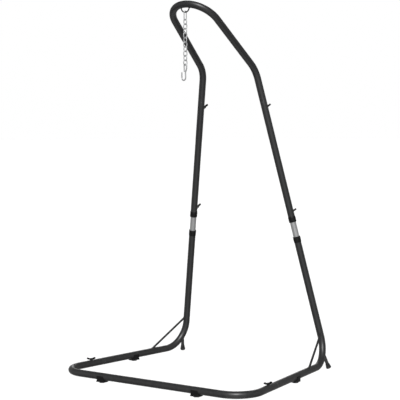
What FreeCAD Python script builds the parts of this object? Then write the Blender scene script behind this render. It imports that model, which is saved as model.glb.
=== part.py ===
import FreeCAD, Part
import math
import os

import Sketcher
from FreeCAD import Placement, Rotation, Vector

# Hammock chair stand: a bent round-tube frame with a height-adjustable arch, a chain and an S-hook.
# Frame of the part: origin on the floor under the middle of the stand, +X across it, -Y to the
# front (the side the arch leans out over), +Z up. Millimetres.

doc = FreeCAD.newDocument("hammock_chair_stand")

# ---------------------------------------------------------------- driving dimensions
SIZES = [
    # bent tube frame: virtual corners of the tube centreline
    ("tube_od", 38.0),
    ("tube_wall", 1.2),
    ("bend_radius", 138.0),
    ("rail_height", 33.0),
    ("front_half_width", 608.0),
    ("rear_half_width", 489.5),
    ("base_depth", 1004.0),
    ("shoulder_half_width", 174.0),
    ("shoulder_lean", 250.0),
    ("shoulder_rise", 1623.0),
    ("apex_lean", 1766.0),
    ("apex_rise", 2859.5),
    ("centre_shift", 507.82),
    # joints of the frame, measured along each tube from its virtual corner
    ("base_seam", 330.0),
    ("seam_gap", 0.6),
    ("base_spigot_od", 32.4),
    ("base_spigot_length", 130.0),
    ("spigot_wall", 1.2),
    ("leg_tube_top", 724.5),
    ("middle_tube_foot", 815.0),
    ("arch_seam", 1500.0),
    ("arch_spigot_od", 35.2),
    ("arch_spigot_length", 90.0),
    # telescoping inner tube
    ("inner_od", 33.4),
    ("inner_wall", 1.5),
    ("inner_foot", 560.0),
    ("inner_length", 417.0),
    ("inner_hole_dia", 9.0),
    ("inner_hole_pitch", 50.0),
    # end collars
    ("collar_od", 41.6),
    ("collar_length", 33.0),
    ("collar_lip", 4.0),
    ("collar_grip_gap", 0.05),
    ("collar_slide_gap", 1.0),
    ("collar_round", 1.2),
    # wing bolts
    ("bolt_dia", 7.8),
    ("bolt_hole_dia", 9.0),
    ("spigot_hole_dia", 9.0),
    ("hub_dia", 17.0),
    ("hub_height", 9.0),
    ("wing_half_span", 24.5),
    ("wing_rise", 14.0),
    ("wing_thickness", 9.6),
    ("nut_dia", 17.0),
    ("nut_rise", 6.5),
    ("rivet_nut_dia", 13.0),
    ("rivet_nut_length", 3.1),
    ("base_bolt_at", 240.0),
    ("lock_bolt_at", 867.0),
    ("arch_bolt_at", 1462.0),
    # saddle feet
    ("saddle_top_length", 46.0),
    ("saddle_foot_length", 55.0),
    ("saddle_top_width", 41.0),
    ("saddle_foot_width", 37.0),
    ("saddle_depth", 28.5),
    ("saddle_lip", 4.0),
    ("glide_dia", 31.0),
    ("front_foot_at", 305.0),
    ("rail_foot_at", 578.0),
    # rear stub legs and braces
    ("stub_dia", 19.0),
    ("rear_foot_dia", 29.0),
    ("rear_foot_height", 26.0),
    ("rear_foot_out", 502.0),
    ("rear_foot_back", -4.0),
    ("brace_dia", 12.0),
    ("brace_rail_at", 719.0),
    ("brace_upright_at", 179.0),
    ("brace_out", 10.0),
    # hanger loop, chain and hook
    ("loop_radius", 26.0),
    ("loop_rod_dia", 7.0),
    ("loop_drop", 42.8),
    ("chain_wire", 5.0),
    ("link_inner_length", 24.0),
    ("link_spacing", 22.5),
    ("first_inner_length", 42.6),
    ("first_spacing", 15.5),
    ("contact_gap", 0.3),
    ("chain_turn", -14.3),
    ("hook_wire", 7.0),
    ("hook_eye_radius", 10.6),
    ("hook_bowl_radius", 16.2),
    ("hook_length", 85.0),
]
LINK_COUNT = 10

sheet = doc.addObject("Spreadsheet::Sheet", "Sizes")
for row, (alias, number) in enumerate(SIZES, start=1):
    sheet.set("A%d" % row, alias)
    sheet.set("B%d" % row, str(number))
    sheet.setAlias("B%d" % row, alias)
doc.recompute()


def size(alias):
    return float(sheet.get(alias))


tube_r = size("tube_od") / 2.0
bore_r = tube_r - size("tube_wall")
bend_r = size("bend_radius")
shift = Vector(0.0, size("centre_shift"), size("rail_height"))


# ---------------------------------------------------------------- frame lines
def corner(x, y, z):
    return Vector(x, y, z) + shift


def unit(vector):
    return Vector(vector) / vector.Length


def mirrored(vector, side):
    return Vector(side * vector.x, vector.y, vector.z)


FRONT = corner(size("front_half_width"), -size("base_depth"), 0.0)
REAR = corner(size("rear_half_width"), 0.0, 0.0)
SHOULDER = corner(size("shoulder_half_width"), -size("shoulder_lean"), size("shoulder_rise"))
APEX = corner(0.0, -size("apex_lean"), size("apex_rise"))


class Leg:
    """Points and directions of one side of the frame; side is +1 on the right, -1 on the left."""

    def __init__(self, side):
        self.side = side
        self.name = "right" if side > 0 else "left"
        self.front = mirrored(FRONT, side)
        self.rear = mirrored(REAR, side)
        self.shoulder = mirrored(SHOULDER, side)
        self.rail = unit(self.rear - self.front)
        self.upright = unit(self.shoulder - self.rear)
        lift = self.upright - self.rail * self.upright.dot(self.rail)
        self.lift = unit(lift)
        self.normal = self.rail.cross(self.lift)
        back = self.rail - self.upright * self.upright.dot(self.rail)
        self.back = unit(back)
        self.rail_length = (self.rear - self.front).Length

    def on_rail(self, distance):
        return self.front + self.rail * distance

    def on_upright(self, distance):
        return self.rear + self.upright * distance


LEGS = [Leg(-1), Leg(1)]
BEND_ANGLE = math.acos(LEGS[0].rail.dot(LEGS[0].upright))
BEND_TANGENT = bend_r * math.tan(BEND_ANGLE / 2.0)


def axes_placement(origin, x_axis, y_axis):
    z_axis = x_axis.cross(y_axis)
    return Placement(origin, Rotation(x_axis, y_axis, z_axis, "ZXY"))


def along(origin, z_axis, x_hint):
    """Placement whose local Z runs along z_axis and whose local X lies nearest to x_hint."""
    x_axis = unit(x_hint - z_axis * x_hint.dot(z_axis))
    return axes_placement(origin, x_axis, z_axis.cross(x_axis))


# ---------------------------------------------------------------- sketch and feature helpers
def new_body(label, placement=None):
    body = doc.addObject("PartDesign::Body", label)
    body.Label = label
    if placement is not None:
        body.Placement = placement
    return body


def origin_plane(body, role):
    for feature in body.Origin.OriginFeatures:
        if getattr(feature, "Role", "") == role:
            return feature
    return None


def sketch_on(body, role, name):
    sketch = body.newObject("Sketcher::SketchObject", name)
    sketch.AttachmentSupport = (origin_plane(body, role), [""])
    sketch.MapMode = "FlatFace"
    return sketch


def bind(sketch, constraint, expression):
    index = sketch.addConstraint(constraint)
    sketch.setExpression("Constraints[%d]" % index, expression)


def ring(sketch, radii):
    """Concentric circles on the sketch origin; radii are (value, expression of the diameter)."""
    for radius, expression in radii:
        index = sketch.addGeometry(Part.Circle(Vector(0, 0, 0), Vector(0, 0, 1), radius), False)
        sketch.addConstraint(Sketcher.Constraint("Coincident", index, 3, -1, 1))
        bind(sketch, Sketcher.Constraint("Diameter", index, 2.0 * radius), expression)


def pad(body, sketch, length, expression=None, reverse=False, both=False):
    feature = body.newObject("PartDesign::Pad", "Pad")
    feature.Profile = sketch
    feature.Length = length
    if expression:
        feature.setExpression("Length", expression)
    feature.Reversed = reverse
    feature.Midplane = both
    sketch.Visibility = False
    return feature


def rounded_path(points, radii):
    """Lines and tangent arcs through a polyline: [("line", a, b) or ("arc", a, middle, b)]."""
    parts = []
    start = points[0]
    for index in range(1, len(points) - 1):
        here = points[index]
        into = unit(here - points[index - 1])
        onward = unit(points[index + 1] - here)
        radius = radii[index - 1]
        turn = math.acos(max(-1.0, min(1.0, into.dot(onward))))
        reach = radius * math.tan(turn / 2.0)
        first = here - into * reach
        last = here + onward * reach
        bisector = unit(onward - into)
        middle = here + bisector * (radius / math.cos(turn / 2.0) - radius)
        if (first - start).Length > 1e-6:
            parts.append(("line", start, first))
        parts.append(("arc", first, middle, last))
        start = last
    if (points[-1] - start).Length > 1e-6:
        parts.append(("line", start, points[-1]))
    return parts


def path_sketch(body, role, points, radii, radius_names, closed=False):
    """A planar path on an origin plane; each arc's radius is bound to a cell where one is named."""
    sketch = sketch_on(body, role, "Path")
    arc_number = 0
    for item in rounded_path(points, radii):
        if item[0] == "line":
            sketch.addGeometry(Part.LineSegment(item[1], item[2]), False)
        else:
            index = sketch.addGeometry(Part.Arc(item[1], item[2], item[3]), False)
            name = radius_names[arc_number]
            if name:
                bind(sketch, Sketcher.Constraint("Radius", index, radii[arc_number]), name)
            arc_number += 1
    count = sketch.GeometryCount
    ends = [(sketch.Geometry[i].StartPoint, sketch.Geometry[i].EndPoint) for i in range(count)]
    last = count if closed else count - 1
    for index in range(last):
        following = (index + 1) % count
        one = nearest_end(ends[index], ends[following])
        other = nearest_end(ends[following], ends[index])
        sketch.addConstraint(Sketcher.Constraint("Coincident", index, one, following, other))
    return sketch


def nearest_end(ends, others):
    gaps = [min((end - other).Length for other in others) for end in ends]
    return 1 if gaps[0] <= gaps[1] else 2


def pipe(body, profile, path):
    feature = body.newObject("PartDesign::AdditivePipe", "Pipe")
    feature.Profile = profile
    edges = ["Edge%d" % (i + 1) for i in range(path.GeometryCount)]
    feature.Spine = (path, edges)
    profile.Visibility = False
    path.Visibility = False
    return feature


def pocket_hole(body, role, name, diameter, expression, centres, reverse=False, depth=30.0, tilt=0.0):
    """Round holes into one side of the body: centres are 2-D points on an origin plane.

    tilt turns the plane about its own X axis, in degrees."""
    sketch = sketch_on(body, role, name)
    sketch.AttachmentOffset = Placement(Vector(), Rotation(Vector(1, 0, 0), tilt))
    for centre in centres:
        index = sketch.addGeometry(Part.Circle(centre, Vector(0, 0, 1), diameter / 2.0), False)
        bind(sketch, Sketcher.Constraint("Diameter", index, diameter), expression)
    feature = body.newObject("PartDesign::Pocket", "Hole")
    feature.Profile = sketch
    feature.Length = depth
    feature.Reversed = reverse
    sketch.Visibility = False
    return feature


def cylinder(name, radius, height, placement, expression=None):
    item = doc.addObject("Part::Cylinder", name)
    item.Radius = radius
    item.Height = height
    if expression:
        item.setExpression("Radius", expression)
    item.Placement = placement
    return item


def cut(label, base, tool):
    item = doc.addObject("Part::Cut", label)
    item.Label = label
    item.Base = base
    item.Tool = tool
    return item


def fuse(label, shapes):
    item = doc.addObject("Part::MultiFuse", label)
    item.Label = label
    item.Shapes = shapes
    return item


def swept(points, radii, radius):
    """Round solid of the given radius along a rounded 3-D polyline."""
    edges = []
    for item in rounded_path(points, radii):
        if item[0] == "line":
            edges.append(Part.makeLine(item[1], item[2]))
        else:
            edges.append(Part.Arc(item[1], item[2], item[3]).toShape())
    path = Part.Wire(edges)
    direction = unit(points[1] - points[0])
    profile = Part.Wire([Part.makeCircle(radius, points[0], direction)])
    return path.makePipeShell([profile], True, False)


NODES = []


def node(item):
    NODES.append(item)
    return item


# ---------------------------------------------------------------- base front tube
def base_front_tube():
    seam = size("base_seam") - size("seam_gap") / 2.0
    body = new_body("base_front_tube", Placement(Vector(0, FRONT.y, FRONT.z), Rotation()))
    profile = sketch_on(body, "YZ_Plane", "Section")
    ring(profile, [(tube_r, "Sizes.tube_od"), (bore_r, "Sizes.tube_od - 2 * Sizes.tube_wall")])
    leg = LEGS[1]
    tip = leg.on_rail(seam)
    points = [Vector(0, 0, 0), Vector(FRONT.x, 0, 0), Vector(tip.x, tip.y - FRONT.y, 0)]
    path = path_sketch(body, "XY_Plane", points, [bend_r], ["Sizes.bend_radius"])
    half = pipe(body, profile, path)
    other = body.newObject("PartDesign::Mirrored", "OtherHalf")
    other.Originals = [half]
    other.MirrorPlane = (origin_plane(body, "YZ_Plane"), [""])
    body.Tip = other
    doc.recompute()
    hole = leg.on_rail(size("base_bolt_at"))
    centres = [Vector(side * hole.x, hole.y - FRONT.y, 0) for side in (-1, 1)]
    nut_hole = size("rivet_nut_dia")
    pocket_hole(body, "XY_Plane", "NutHoles", nut_hole, "Sizes.rivet_nut_dia", centres,
                reverse=True)
    doc.recompute()
    node(body)


# ---------------------------------------------------------------- bent leg tubes
def leg_tube(leg):
    start = size("base_seam") + size("seam_gap") / 2.0
    body = new_body(leg.name + "_leg_tube", axes_placement(leg.on_rail(start), leg.rail, leg.lift))
    profile = sketch_on(body, "YZ_Plane", "Section")
    ring(profile, [(tube_r, "Sizes.tube_od"), (bore_r, "Sizes.tube_od - 2 * Sizes.tube_wall")])
    reach = leg.rail_length - start
    top = size("leg_tube_top")
    across = leg.upright.dot(leg.rail)
    rise = leg.upright.dot(leg.lift)
    points = [Vector(0, 0, 0), Vector(reach, 0, 0), Vector(reach + top * across, top * rise, 0)]
    path = path_sketch(body, "XY_Plane", points, [bend_r], ["Sizes.bend_radius"])
    pipe(body, profile, path)
    doc.recompute()
    # swaged end: a shoulder ring inside the tube mouth, then the spigot towards the front
    spigot_r = size("base_spigot_od") / 2.0
    spigot_bore = spigot_r - size("spigot_wall")
    shoulder = sketch_on(body, "YZ_Plane", "Shoulder")
    ring(shoulder, [(tube_r, "Sizes.tube_od"),
                    (spigot_bore, "Sizes.base_spigot_od - 2 * Sizes.spigot_wall")])
    pad(body, shoulder, 4.0)
    spigot = sketch_on(body, "YZ_Plane", "Spigot")
    ring(spigot, [(spigot_r, "Sizes.base_spigot_od"),
                  (spigot_bore, "Sizes.base_spigot_od - 2 * Sizes.spigot_wall")])
    pad(body, spigot, size("base_spigot_length"), "Sizes.base_spigot_length", reverse=True)
    doc.recompute()
    hole_at = size("base_bolt_at") - start
    bolt_hole = size("spigot_hole_dia")
    # the leg leans inwards, so the upright bolt's hole is cut at that tilt to local +Y
    tilt = math.degrees(math.atan2(leg.normal.z, leg.lift.z))
    pocket_hole(body, "XZ_Plane", "BoltHole", bolt_hole, "Sizes.spigot_hole_dia",
                [Vector(hole_at, 0, 0)], tilt=tilt)
    doc.recompute()
    node(body)


# ---------------------------------------------------------------- straight tubes
def tube_body(label, placement, outer, inner, length, length_name):
    """Straight tube along local Z; outer and inner are (radius, expression of the diameter)."""
    body = new_body(label, placement)
    profile = sketch_on(body, "XY_Plane", "Section")
    ring(profile, [outer, inner])
    pad(body, profile, length, length_name)
    doc.recompute()
    return body


def middle_tube(leg):
    foot = size("middle_tube_foot")
    top = size("arch_seam") - size("seam_gap") / 2.0
    where = along(leg.on_upright(foot), leg.upright, leg.back)
    body = tube_body(leg.name + "_middle_tube", where, (tube_r, "Sizes.tube_od"),
                     (bore_r, "Sizes.tube_od - 2 * Sizes.tube_wall"), top - foot,
                     "Sizes.arch_seam - Sizes.seam_gap / 2 - Sizes.middle_tube_foot")
    centres = [Vector(0, size("lock_bolt_at") - foot, 0), Vector(0, size("arch_bolt_at") - foot, 0)]
    pocket_hole(body, "YZ_Plane", "BoltHoles", size("bolt_hole_dia"), "Sizes.bolt_hole_dia",
                centres, reverse=True)
    doc.recompute()
    node(body)


def inner_tube(leg):
    foot = size("inner_foot")
    where = along(leg.on_upright(foot), leg.upright, leg.back)
    inner_r = size("inner_od") / 2.0
    body = tube_body(leg.name + "_inner_tube", where, (inner_r, "Sizes.inner_od"),
                     (inner_r - size("inner_wall"), "Sizes.inner_od - 2 * Sizes.inner_wall"),
                     size("inner_length"), "Sizes.inner_length")
    middle = size("lock_bolt_at") - foot
    pitch = size("inner_hole_pitch")
    centres = [Vector(0, middle + step * pitch, 0) for step in (-1, 0, 1)]
    pocket_hole(body, "YZ_Plane", "HeightHoles", size("inner_hole_dia"), "Sizes.inner_hole_dia",
                centres, reverse=True)
    doc.recompute()
    node(body)


# ---------------------------------------------------------------- end collars
def collar(leg, label, lip_at, towards, gap_name):
    """Moulded sleeve over a tube end, with a lip that guides the inner tube.

    lip_at is the lip's outer face along the upright; towards is +1 when the sleeve runs up."""
    axis = leg.upright * towards
    body = new_body(label, along(leg.on_upright(lip_at), axis, leg.back))
    outer_r = size("collar_od") / 2.0
    lip_r = size("inner_od") / 2.0 + size(gap_name)
    lip = sketch_on(body, "XY_Plane", "Lip")
    ring(lip, [(outer_r, "Sizes.collar_od"), (lip_r, "Sizes.inner_od + 2 * Sizes.%s" % gap_name)])
    pad(body, lip, size("collar_lip"), "Sizes.collar_lip")
    sleeve = sketch_on(body, "XY_Plane", "Sleeve")
    ring(sleeve, [(outer_r, "Sizes.collar_od"), (tube_r, "Sizes.tube_od")])
    pad(body, sleeve, size("collar_length"), "Sizes.collar_length")
    doc.recompute()
    rims = rim_edges(body.Tip, outer_r, (0.0, size("collar_length")))
    rounding = body.newObject("PartDesign::Fillet", "Rounding")
    rounding.Base = (body.Tip if body.Tip != rounding else rounding.BaseFeature, rims)
    rounding.Radius = size("collar_round")
    rounding.setExpression("Radius", "Sizes.collar_round")
    doc.recompute()
    node(body)


def rim_edges(feature, radius, heights):
    """Names of the circular edges of a turned feature with this radius at these local heights."""
    names = []
    for index, edge in enumerate(feature.Shape.Edges, start=1):
        curve = edge.Curve
        if not isinstance(curve, Part.Circle) or abs(curve.Radius - radius) > 1e-3:
            continue
        if any(abs(curve.Center.z - height) < 1e-3 for height in heights):
            names.append("Edge%d" % index)
    return names


# ---------------------------------------------------------------- top arch
def top_arch_tube():
    left, right = LEGS
    seam = size("arch_seam") + size("seam_gap") / 2.0
    ends = [left.on_upright(seam), right.on_upright(seam)]
    points = [ends[0], left.shoulder, APEX, right.shoulder, ends[1]]
    radii = [bend_r, bend_r, bend_r]
    outer = swept(points, radii, tube_r)
    bore = swept(points, radii, bore_r)
    shape = outer.cut(bore)
    spigot_r = size("arch_spigot_od") / 2.0
    spigot_bore = spigot_r - size("spigot_wall")
    for leg in LEGS:
        mouth = leg.on_upright(seam)
        down = leg.upright * -1.0
        length = size("arch_spigot_length")
        sleeve = Part.makeCylinder(tube_r, 4.0, mouth, leg.upright)
        sleeve = sleeve.fuse(Part.makeCylinder(spigot_r, length, mouth, down))
        low = leg.on_upright(seam - length - 1.0)
        sleeve = sleeve.cut(Part.makeCylinder(spigot_bore, length + 20.0, low, leg.upright))
        hole = Part.makeCylinder(size("bolt_hole_dia") / 2.0, 30.0,
                                 leg.on_upright(size("arch_bolt_at")), leg.back)
        shape = shape.fuse(sleeve).cut(hole)
    item = doc.addObject("Part::Feature", "top_arch_tube")
    item.Label = "top_arch_tube"
    item.Shape = shape.removeSplitter()
    node(item)


# ---------------------------------------------------------------- weld nuts and rivet nuts
def bush(name, where, tube_outer, low, high, outer_name):
    """Threaded bush along local Z from low to high above a tube's axis, bored for the bolt."""
    solid = cylinder(name, size(outer_name) / 2.0, high - low,
                     where.multiply(Placement(Vector(0, 0, low), Rotation())),
                     "Sizes.%s / 2" % outer_name)
    bore_radius = size("bolt_dia") / 2.0 + 0.05
    bore = cylinder(name + "Bore", bore_radius, high - low + 20.0,
                    where.multiply(Placement(Vector(0, 0, low - 10.0), Rotation())),
                    "Sizes.bolt_dia / 2 + 0.05")
    tools = [bore]
    if tube_outer is not None:
        tools.append(tube_outer)
    return cut(name + "Ring", solid, fuse(name + "Tools", tools) if len(tools) > 1 else bore)


def bolt_seat(leg, distance, turn):
    """Placement with local Z out of the upright's back and local X along the wings."""
    where = along(leg.on_upright(distance), leg.back, leg.upright)
    return where.multiply(Placement(Vector(), Rotation(Vector(0, 0, 1), turn)))


def rail_seat(leg, distance, turn):
    where = along(leg.on_rail(distance), Vector(0, 0, 1), leg.rail)
    return where.multiply(Placement(Vector(), Rotation(Vector(0, 0, 1), turn)))


def upper_weld_nuts():
    rings = []
    for leg in LEGS:
        for index, name in enumerate(("lock_bolt_at", "arch_bolt_at")):
            distance = size(name)
            axis = along(leg.on_upright(distance - 40.0), leg.upright, leg.back)
            skin = cylinder("%s_skin%d" % (leg.name, index), tube_r, 80.0, axis, "Sizes.tube_od / 2")
            seat = bolt_seat(leg, distance, 0.0)
            rings.append(bush("%s_weld%d" % (leg.name, index), seat, skin, tube_r - 4.0,
                              tube_r + size("nut_rise"), "nut_dia"))
    group = doc.addObject("Part::Compound", "upper_weld_nuts")
    group.Label = "upper_weld_nuts"
    group.Links = rings
    node(group)


def base_rivet_nuts():
    rings = []
    for leg in LEGS:
        seat = rail_seat(leg, size("base_bolt_at"), 0.0)
        rings.append(bush(leg.name + "_rivet", seat, None, tube_r + 1.0 - size("rivet_nut_length"),
                          tube_r + 1.0, "rivet_nut_dia"))
    group = doc.addObject("Part::Compound", "base_rivet_nuts")
    group.Label = "base_rivet_nuts"
    group.Links = rings
    node(group)


# ---------------------------------------------------------------- wing bolts
def wing_bolt(label, seat, hub_base, tip):
    """Wing bolt along local Z: hub_base and tip are distances from the tube axis."""
    body = new_body(label, seat.multiply(Placement(Vector(0, 0, hub_base), Rotation())))
    shank = sketch_on(body, "XY_Plane", "Shank")
    ring(shank, [(size("bolt_dia") / 2.0, "Sizes.bolt_dia")])
    pad(body, shank, hub_base - tip, reverse=True)
    hub = sketch_on(body, "XY_Plane", "Hub")
    ring(hub, [(size("hub_dia") / 2.0, "Sizes.hub_dia")])
    pad(body, hub, size("hub_height"), "Sizes.hub_height")
    # one wing in side view: it leaves the hub's flank, spreads outwards and ends in a round lobe
    span = size("wing_half_span")
    rise = size("wing_rise")
    wings = sketch_on(body, "XZ_Plane", "Wings")
    outline = [(0.0, 1.0), (6.0, 1.0), (span - 4.5, rise - 10.0), (span, rise - 7.5),
               (span, rise - 1.5), (span - 3.0, rise), (span - 9.0, rise), (7.0, 9.5),
               (0.0, 9.5)]
    both = outline + [(-x, y) for x, y in reversed(outline[1:-1])]
    for index, (x, y) in enumerate(both):
        after = both[(index + 1) % len(both)]
        wings.addGeometry(Part.LineSegment(Vector(x, y, 0), Vector(after[0], after[1], 0)), False)
    for index in range(len(both)):
        following = (index + 1) % len(both)
        wings.addConstraint(Sketcher.Constraint("Coincident", index, 2, following, 1))
    pad(body, wings, size("wing_thickness"), "Sizes.wing_thickness", both=True)
    doc.recompute()
    node(body)


# ---------------------------------------------------------------- feet
def saddle(label, where):
    """Foot clipped under a tube: local X along the tube, Z up, origin on the tube's axis."""
    body = new_body(label, where)
    # the two flanks reach a little above the tube's axis, so that the foot snaps on
    top = sketch_on(body, "XY_Plane", "Top")
    top.AttachmentOffset = Placement(Vector(0, 0, size("saddle_lip")), Rotation())
    top.setExpression("AttachmentOffset.Base.z", "Sizes.saddle_lip")
    rectangle(top, size("saddle_top_length"), size("saddle_top_width"),
              "Sizes.saddle_top_length", "Sizes.saddle_top_width")
    bottom = sketch_on(body, "XY_Plane", "Bottom")
    bottom.AttachmentOffset = Placement(Vector(0, 0, -size("saddle_depth")), Rotation())
    bottom.setExpression("AttachmentOffset.Base.z", "-Sizes.saddle_depth")
    rectangle(bottom, size("saddle_foot_length"), size("saddle_foot_width"),
              "Sizes.saddle_foot_length", "Sizes.saddle_foot_width")
    loft = body.newObject("PartDesign::AdditiveLoft", "Block")
    loft.Profile = top
    loft.Sections = [bottom]
    loft.Ruled = True
    top.Visibility = False
    bottom.Visibility = False
    doc.recompute()
    seat = sketch_on(body, "YZ_Plane", "TubeSeat")
    ring(seat, [(tube_r, "Sizes.tube_od")])
    groove = body.newObject("PartDesign::Pocket", "Seat")
    groove.Profile = seat
    groove.Length = 2.0 * size("saddle_foot_length")
    groove.setExpression("Length", "2 * Sizes.saddle_foot_length")
    groove.Midplane = True
    seat.Visibility = False
    doc.recompute()
    node(body)


def rectangle(sketch, length, width, length_name, width_name):
    half_x = length / 2.0
    half_y = width / 2.0
    corners = [(-half_x, -half_y), (half_x, -half_y), (half_x, half_y), (-half_x, half_y)]
    for index in range(4):
        here = corners[index]
        after = corners[(index + 1) % 4]
        sketch.addGeometry(Part.LineSegment(Vector(here[0], here[1], 0),
                                            Vector(after[0], after[1], 0)), False)
    for index in range(4):
        sketch.addConstraint(Sketcher.Constraint("Coincident", index, 2, (index + 1) % 4, 1))
    for index in (0, 2):
        sketch.addConstraint(Sketcher.Constraint("Horizontal", index))
    for index in (1, 3):
        sketch.addConstraint(Sketcher.Constraint("Vertical", index))
    sketch.addConstraint(Sketcher.Constraint("Symmetric", 0, 1, 1, 2, -1, 1))
    bind(sketch, Sketcher.Constraint("DistanceX", 0, 1, 0, 2, length), length_name)
    bind(sketch, Sketcher.Constraint("DistanceY", 1, 1, 1, 2, width), width_name)


def glide(label, where):
    """Round rubber button between the saddle's underside and the floor."""
    depth = size("saddle_depth")
    floor = size("rail_height")
    place = where.multiply(Placement(Vector(0, 0, -floor), Rotation()))
    body = new_body(label, place)
    disc = sketch_on(body, "XY_Plane", "Disc")
    ring(disc, [(size("glide_dia") / 2.0, "Sizes.glide_dia")])
    pad(body, disc, floor - depth, "Sizes.rail_height - Sizes.saddle_depth")
    doc.recompute()
    rims = rim_edges(body.Tip, size("glide_dia") / 2.0, (0.0,))
    rounding = body.newObject("PartDesign::Fillet", "Rounding")
    rounding.Base = (rounding.BaseFeature, rims)
    rounding.Radius = 1.5
    doc.recompute()
    node(body)


def feet():
    for side, name in ((-1, "left"), (1, "right")):
        here = Vector(side * size("front_foot_at"), FRONT.y, FRONT.z)
        where = axes_placement(here, Vector(1, 0, 0), Vector(0, 1, 0))
        saddle("front_%s_saddle" % name, where)
        glide("front_%s_glide" % name, where)
    for leg in LEGS:
        where = along(leg.on_rail(size("rail_foot_at")), Vector(0, 0, 1), leg.rail)
        saddle(leg.name + "_rail_saddle", where)
        glide(leg.name + "_rail_glide", where)


# ---------------------------------------------------------------- rear stubs, rear feet, braces
def leg_skin(leg, name):
    """The leg tube's outer envelope around its rear bend, to fit the welded pieces against."""
    rail_end = cylinder(name + "Rail", tube_r, 300.0,
                        along(leg.on_rail(leg.rail_length - BEND_TANGENT - 300.0), leg.rail,
                              Vector(0, 0, 1)), "Sizes.tube_od / 2")
    upright = cylinder(name + "Upright", tube_r, 300.0,
                       along(leg.on_upright(BEND_TANGENT), leg.upright, leg.back),
                       "Sizes.tube_od / 2")
    bisector = unit(leg.upright - leg.rail)
    centre = leg.rear + bisector * (bend_r / math.cos(BEND_ANGLE / 2.0))
    torus = doc.addObject("Part::Torus", name + "Bend")
    torus.Radius1 = bend_r
    torus.Radius2 = tube_r
    torus.setExpression("Radius1", "Sizes.bend_radius")
    torus.setExpression("Radius2", "Sizes.tube_od / 2")
    torus.Placement = along(centre, leg.normal, leg.rail)
    return rail_end, upright, torus


def stub_and_foot(leg):
    foot_height = size("rear_foot_height")
    half = size("rear_foot_dia") / 2.0
    edge = half - 2.5
    foot_at = Vector(leg.side * size("rear_foot_out"), shift.y + size("rear_foot_back"), 0.0)
    bisector = unit(leg.upright - leg.rail)
    centre = leg.rear + bisector * (bend_r / math.cos(BEND_ANGLE / 2.0))
    outward = unit(leg.rail * 0.87 - leg.lift * 0.5)
    root = centre + outward * bend_r
    # the foot is a cap in line with the stub, and the edge of its flat end stands on the floor
    axis = unit(root - foot_at)
    for _ in range(3):
        foot_at.z = edge * math.sin(axis.getAngle(Vector(0, 0, 1)))
        axis = unit(root - foot_at)
    socket_foot = foot_at + axis * 7.0
    length = (root - socket_foot).Length
    rod = cylinder(leg.name + "StubRod", size("stub_dia") / 2.0, length,
                   along(socket_foot, axis, leg.rail), "Sizes.stub_dia / 2")
    skins = leg_skin(leg, leg.name + "Stub")
    node(cut(leg.name + "_rear_stub", rod, skins[2]))
    # moulded bell cap: a turned profile with a socket for the stub
    body = new_body(leg.name + "_rear_foot_blank", along(foot_at, axis, leg.rail))
    outline = [(0, 0), (edge, 0), (half, 2.5), (half, 9.0), (half - 2.0, 15.0),
               (11.7, foot_height - 3.0), (11.7, foot_height), (0, foot_height)]
    sketch = sketch_on(body, "XZ_Plane", "Bell")
    for index, (x, z) in enumerate(outline):
        after = outline[(index + 1) % len(outline)]
        sketch.addGeometry(Part.LineSegment(Vector(x, z, 0), Vector(after[0], after[1], 0)), False)
    for index in range(len(outline)):
        following = (index + 1) % len(outline)
        sketch.addConstraint(Sketcher.Constraint("Coincident", index, 2, following, 1))
    turned = body.newObject("PartDesign::Revolution", "Turned")
    turned.Profile = sketch
    turned.ReferenceAxis = (sketch, ["V_Axis"])
    turned.Angle = 360.0
    sketch.Visibility = False
    doc.recompute()
    socket = cylinder(leg.name + "Socket", size("stub_dia") / 2.0, length,
                      along(socket_foot, axis, leg.rail), "Sizes.stub_dia / 2")
    node(cut(leg.name + "_rear_foot", body, socket))


def brace(leg):
    outwards = leg.normal * (leg.side * size("brace_out"))
    low = leg.on_rail(size("brace_rail_at")) + outwards
    high = leg.on_upright(size("brace_upright_at")) + outwards
    axis = unit(high - low)
    rod = cylinder(leg.name + "BraceRod", size("brace_dia") / 2.0, (high - low).Length,
                   along(low, axis, leg.normal), "Sizes.brace_dia / 2")
    skins = leg_skin(leg, leg.name + "Brace")
    node(cut(leg.name + "_brace", rod, fuse(leg.name + "BraceTools", list(skins[:2]))))


# ---------------------------------------------------------------- hanger loop
ARM = unit(APEX - SHOULDER)
ARM_HALF_ANGLE = math.asin(SHOULDER.x / (APEX - SHOULDER).Length)
BACKWARD = unit(Vector(0, SHOULDER.y - APEX.y, SHOULDER.z - APEX.z))
ARC_CENTRE = APEX + BACKWARD * (bend_r / math.sin(ARM_HALF_ANGLE))
CREST = ARC_CENTRE - BACKWARD * bend_r
LOOP_BOTTOM = CREST - Vector(0, 0, size("loop_drop"))


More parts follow.
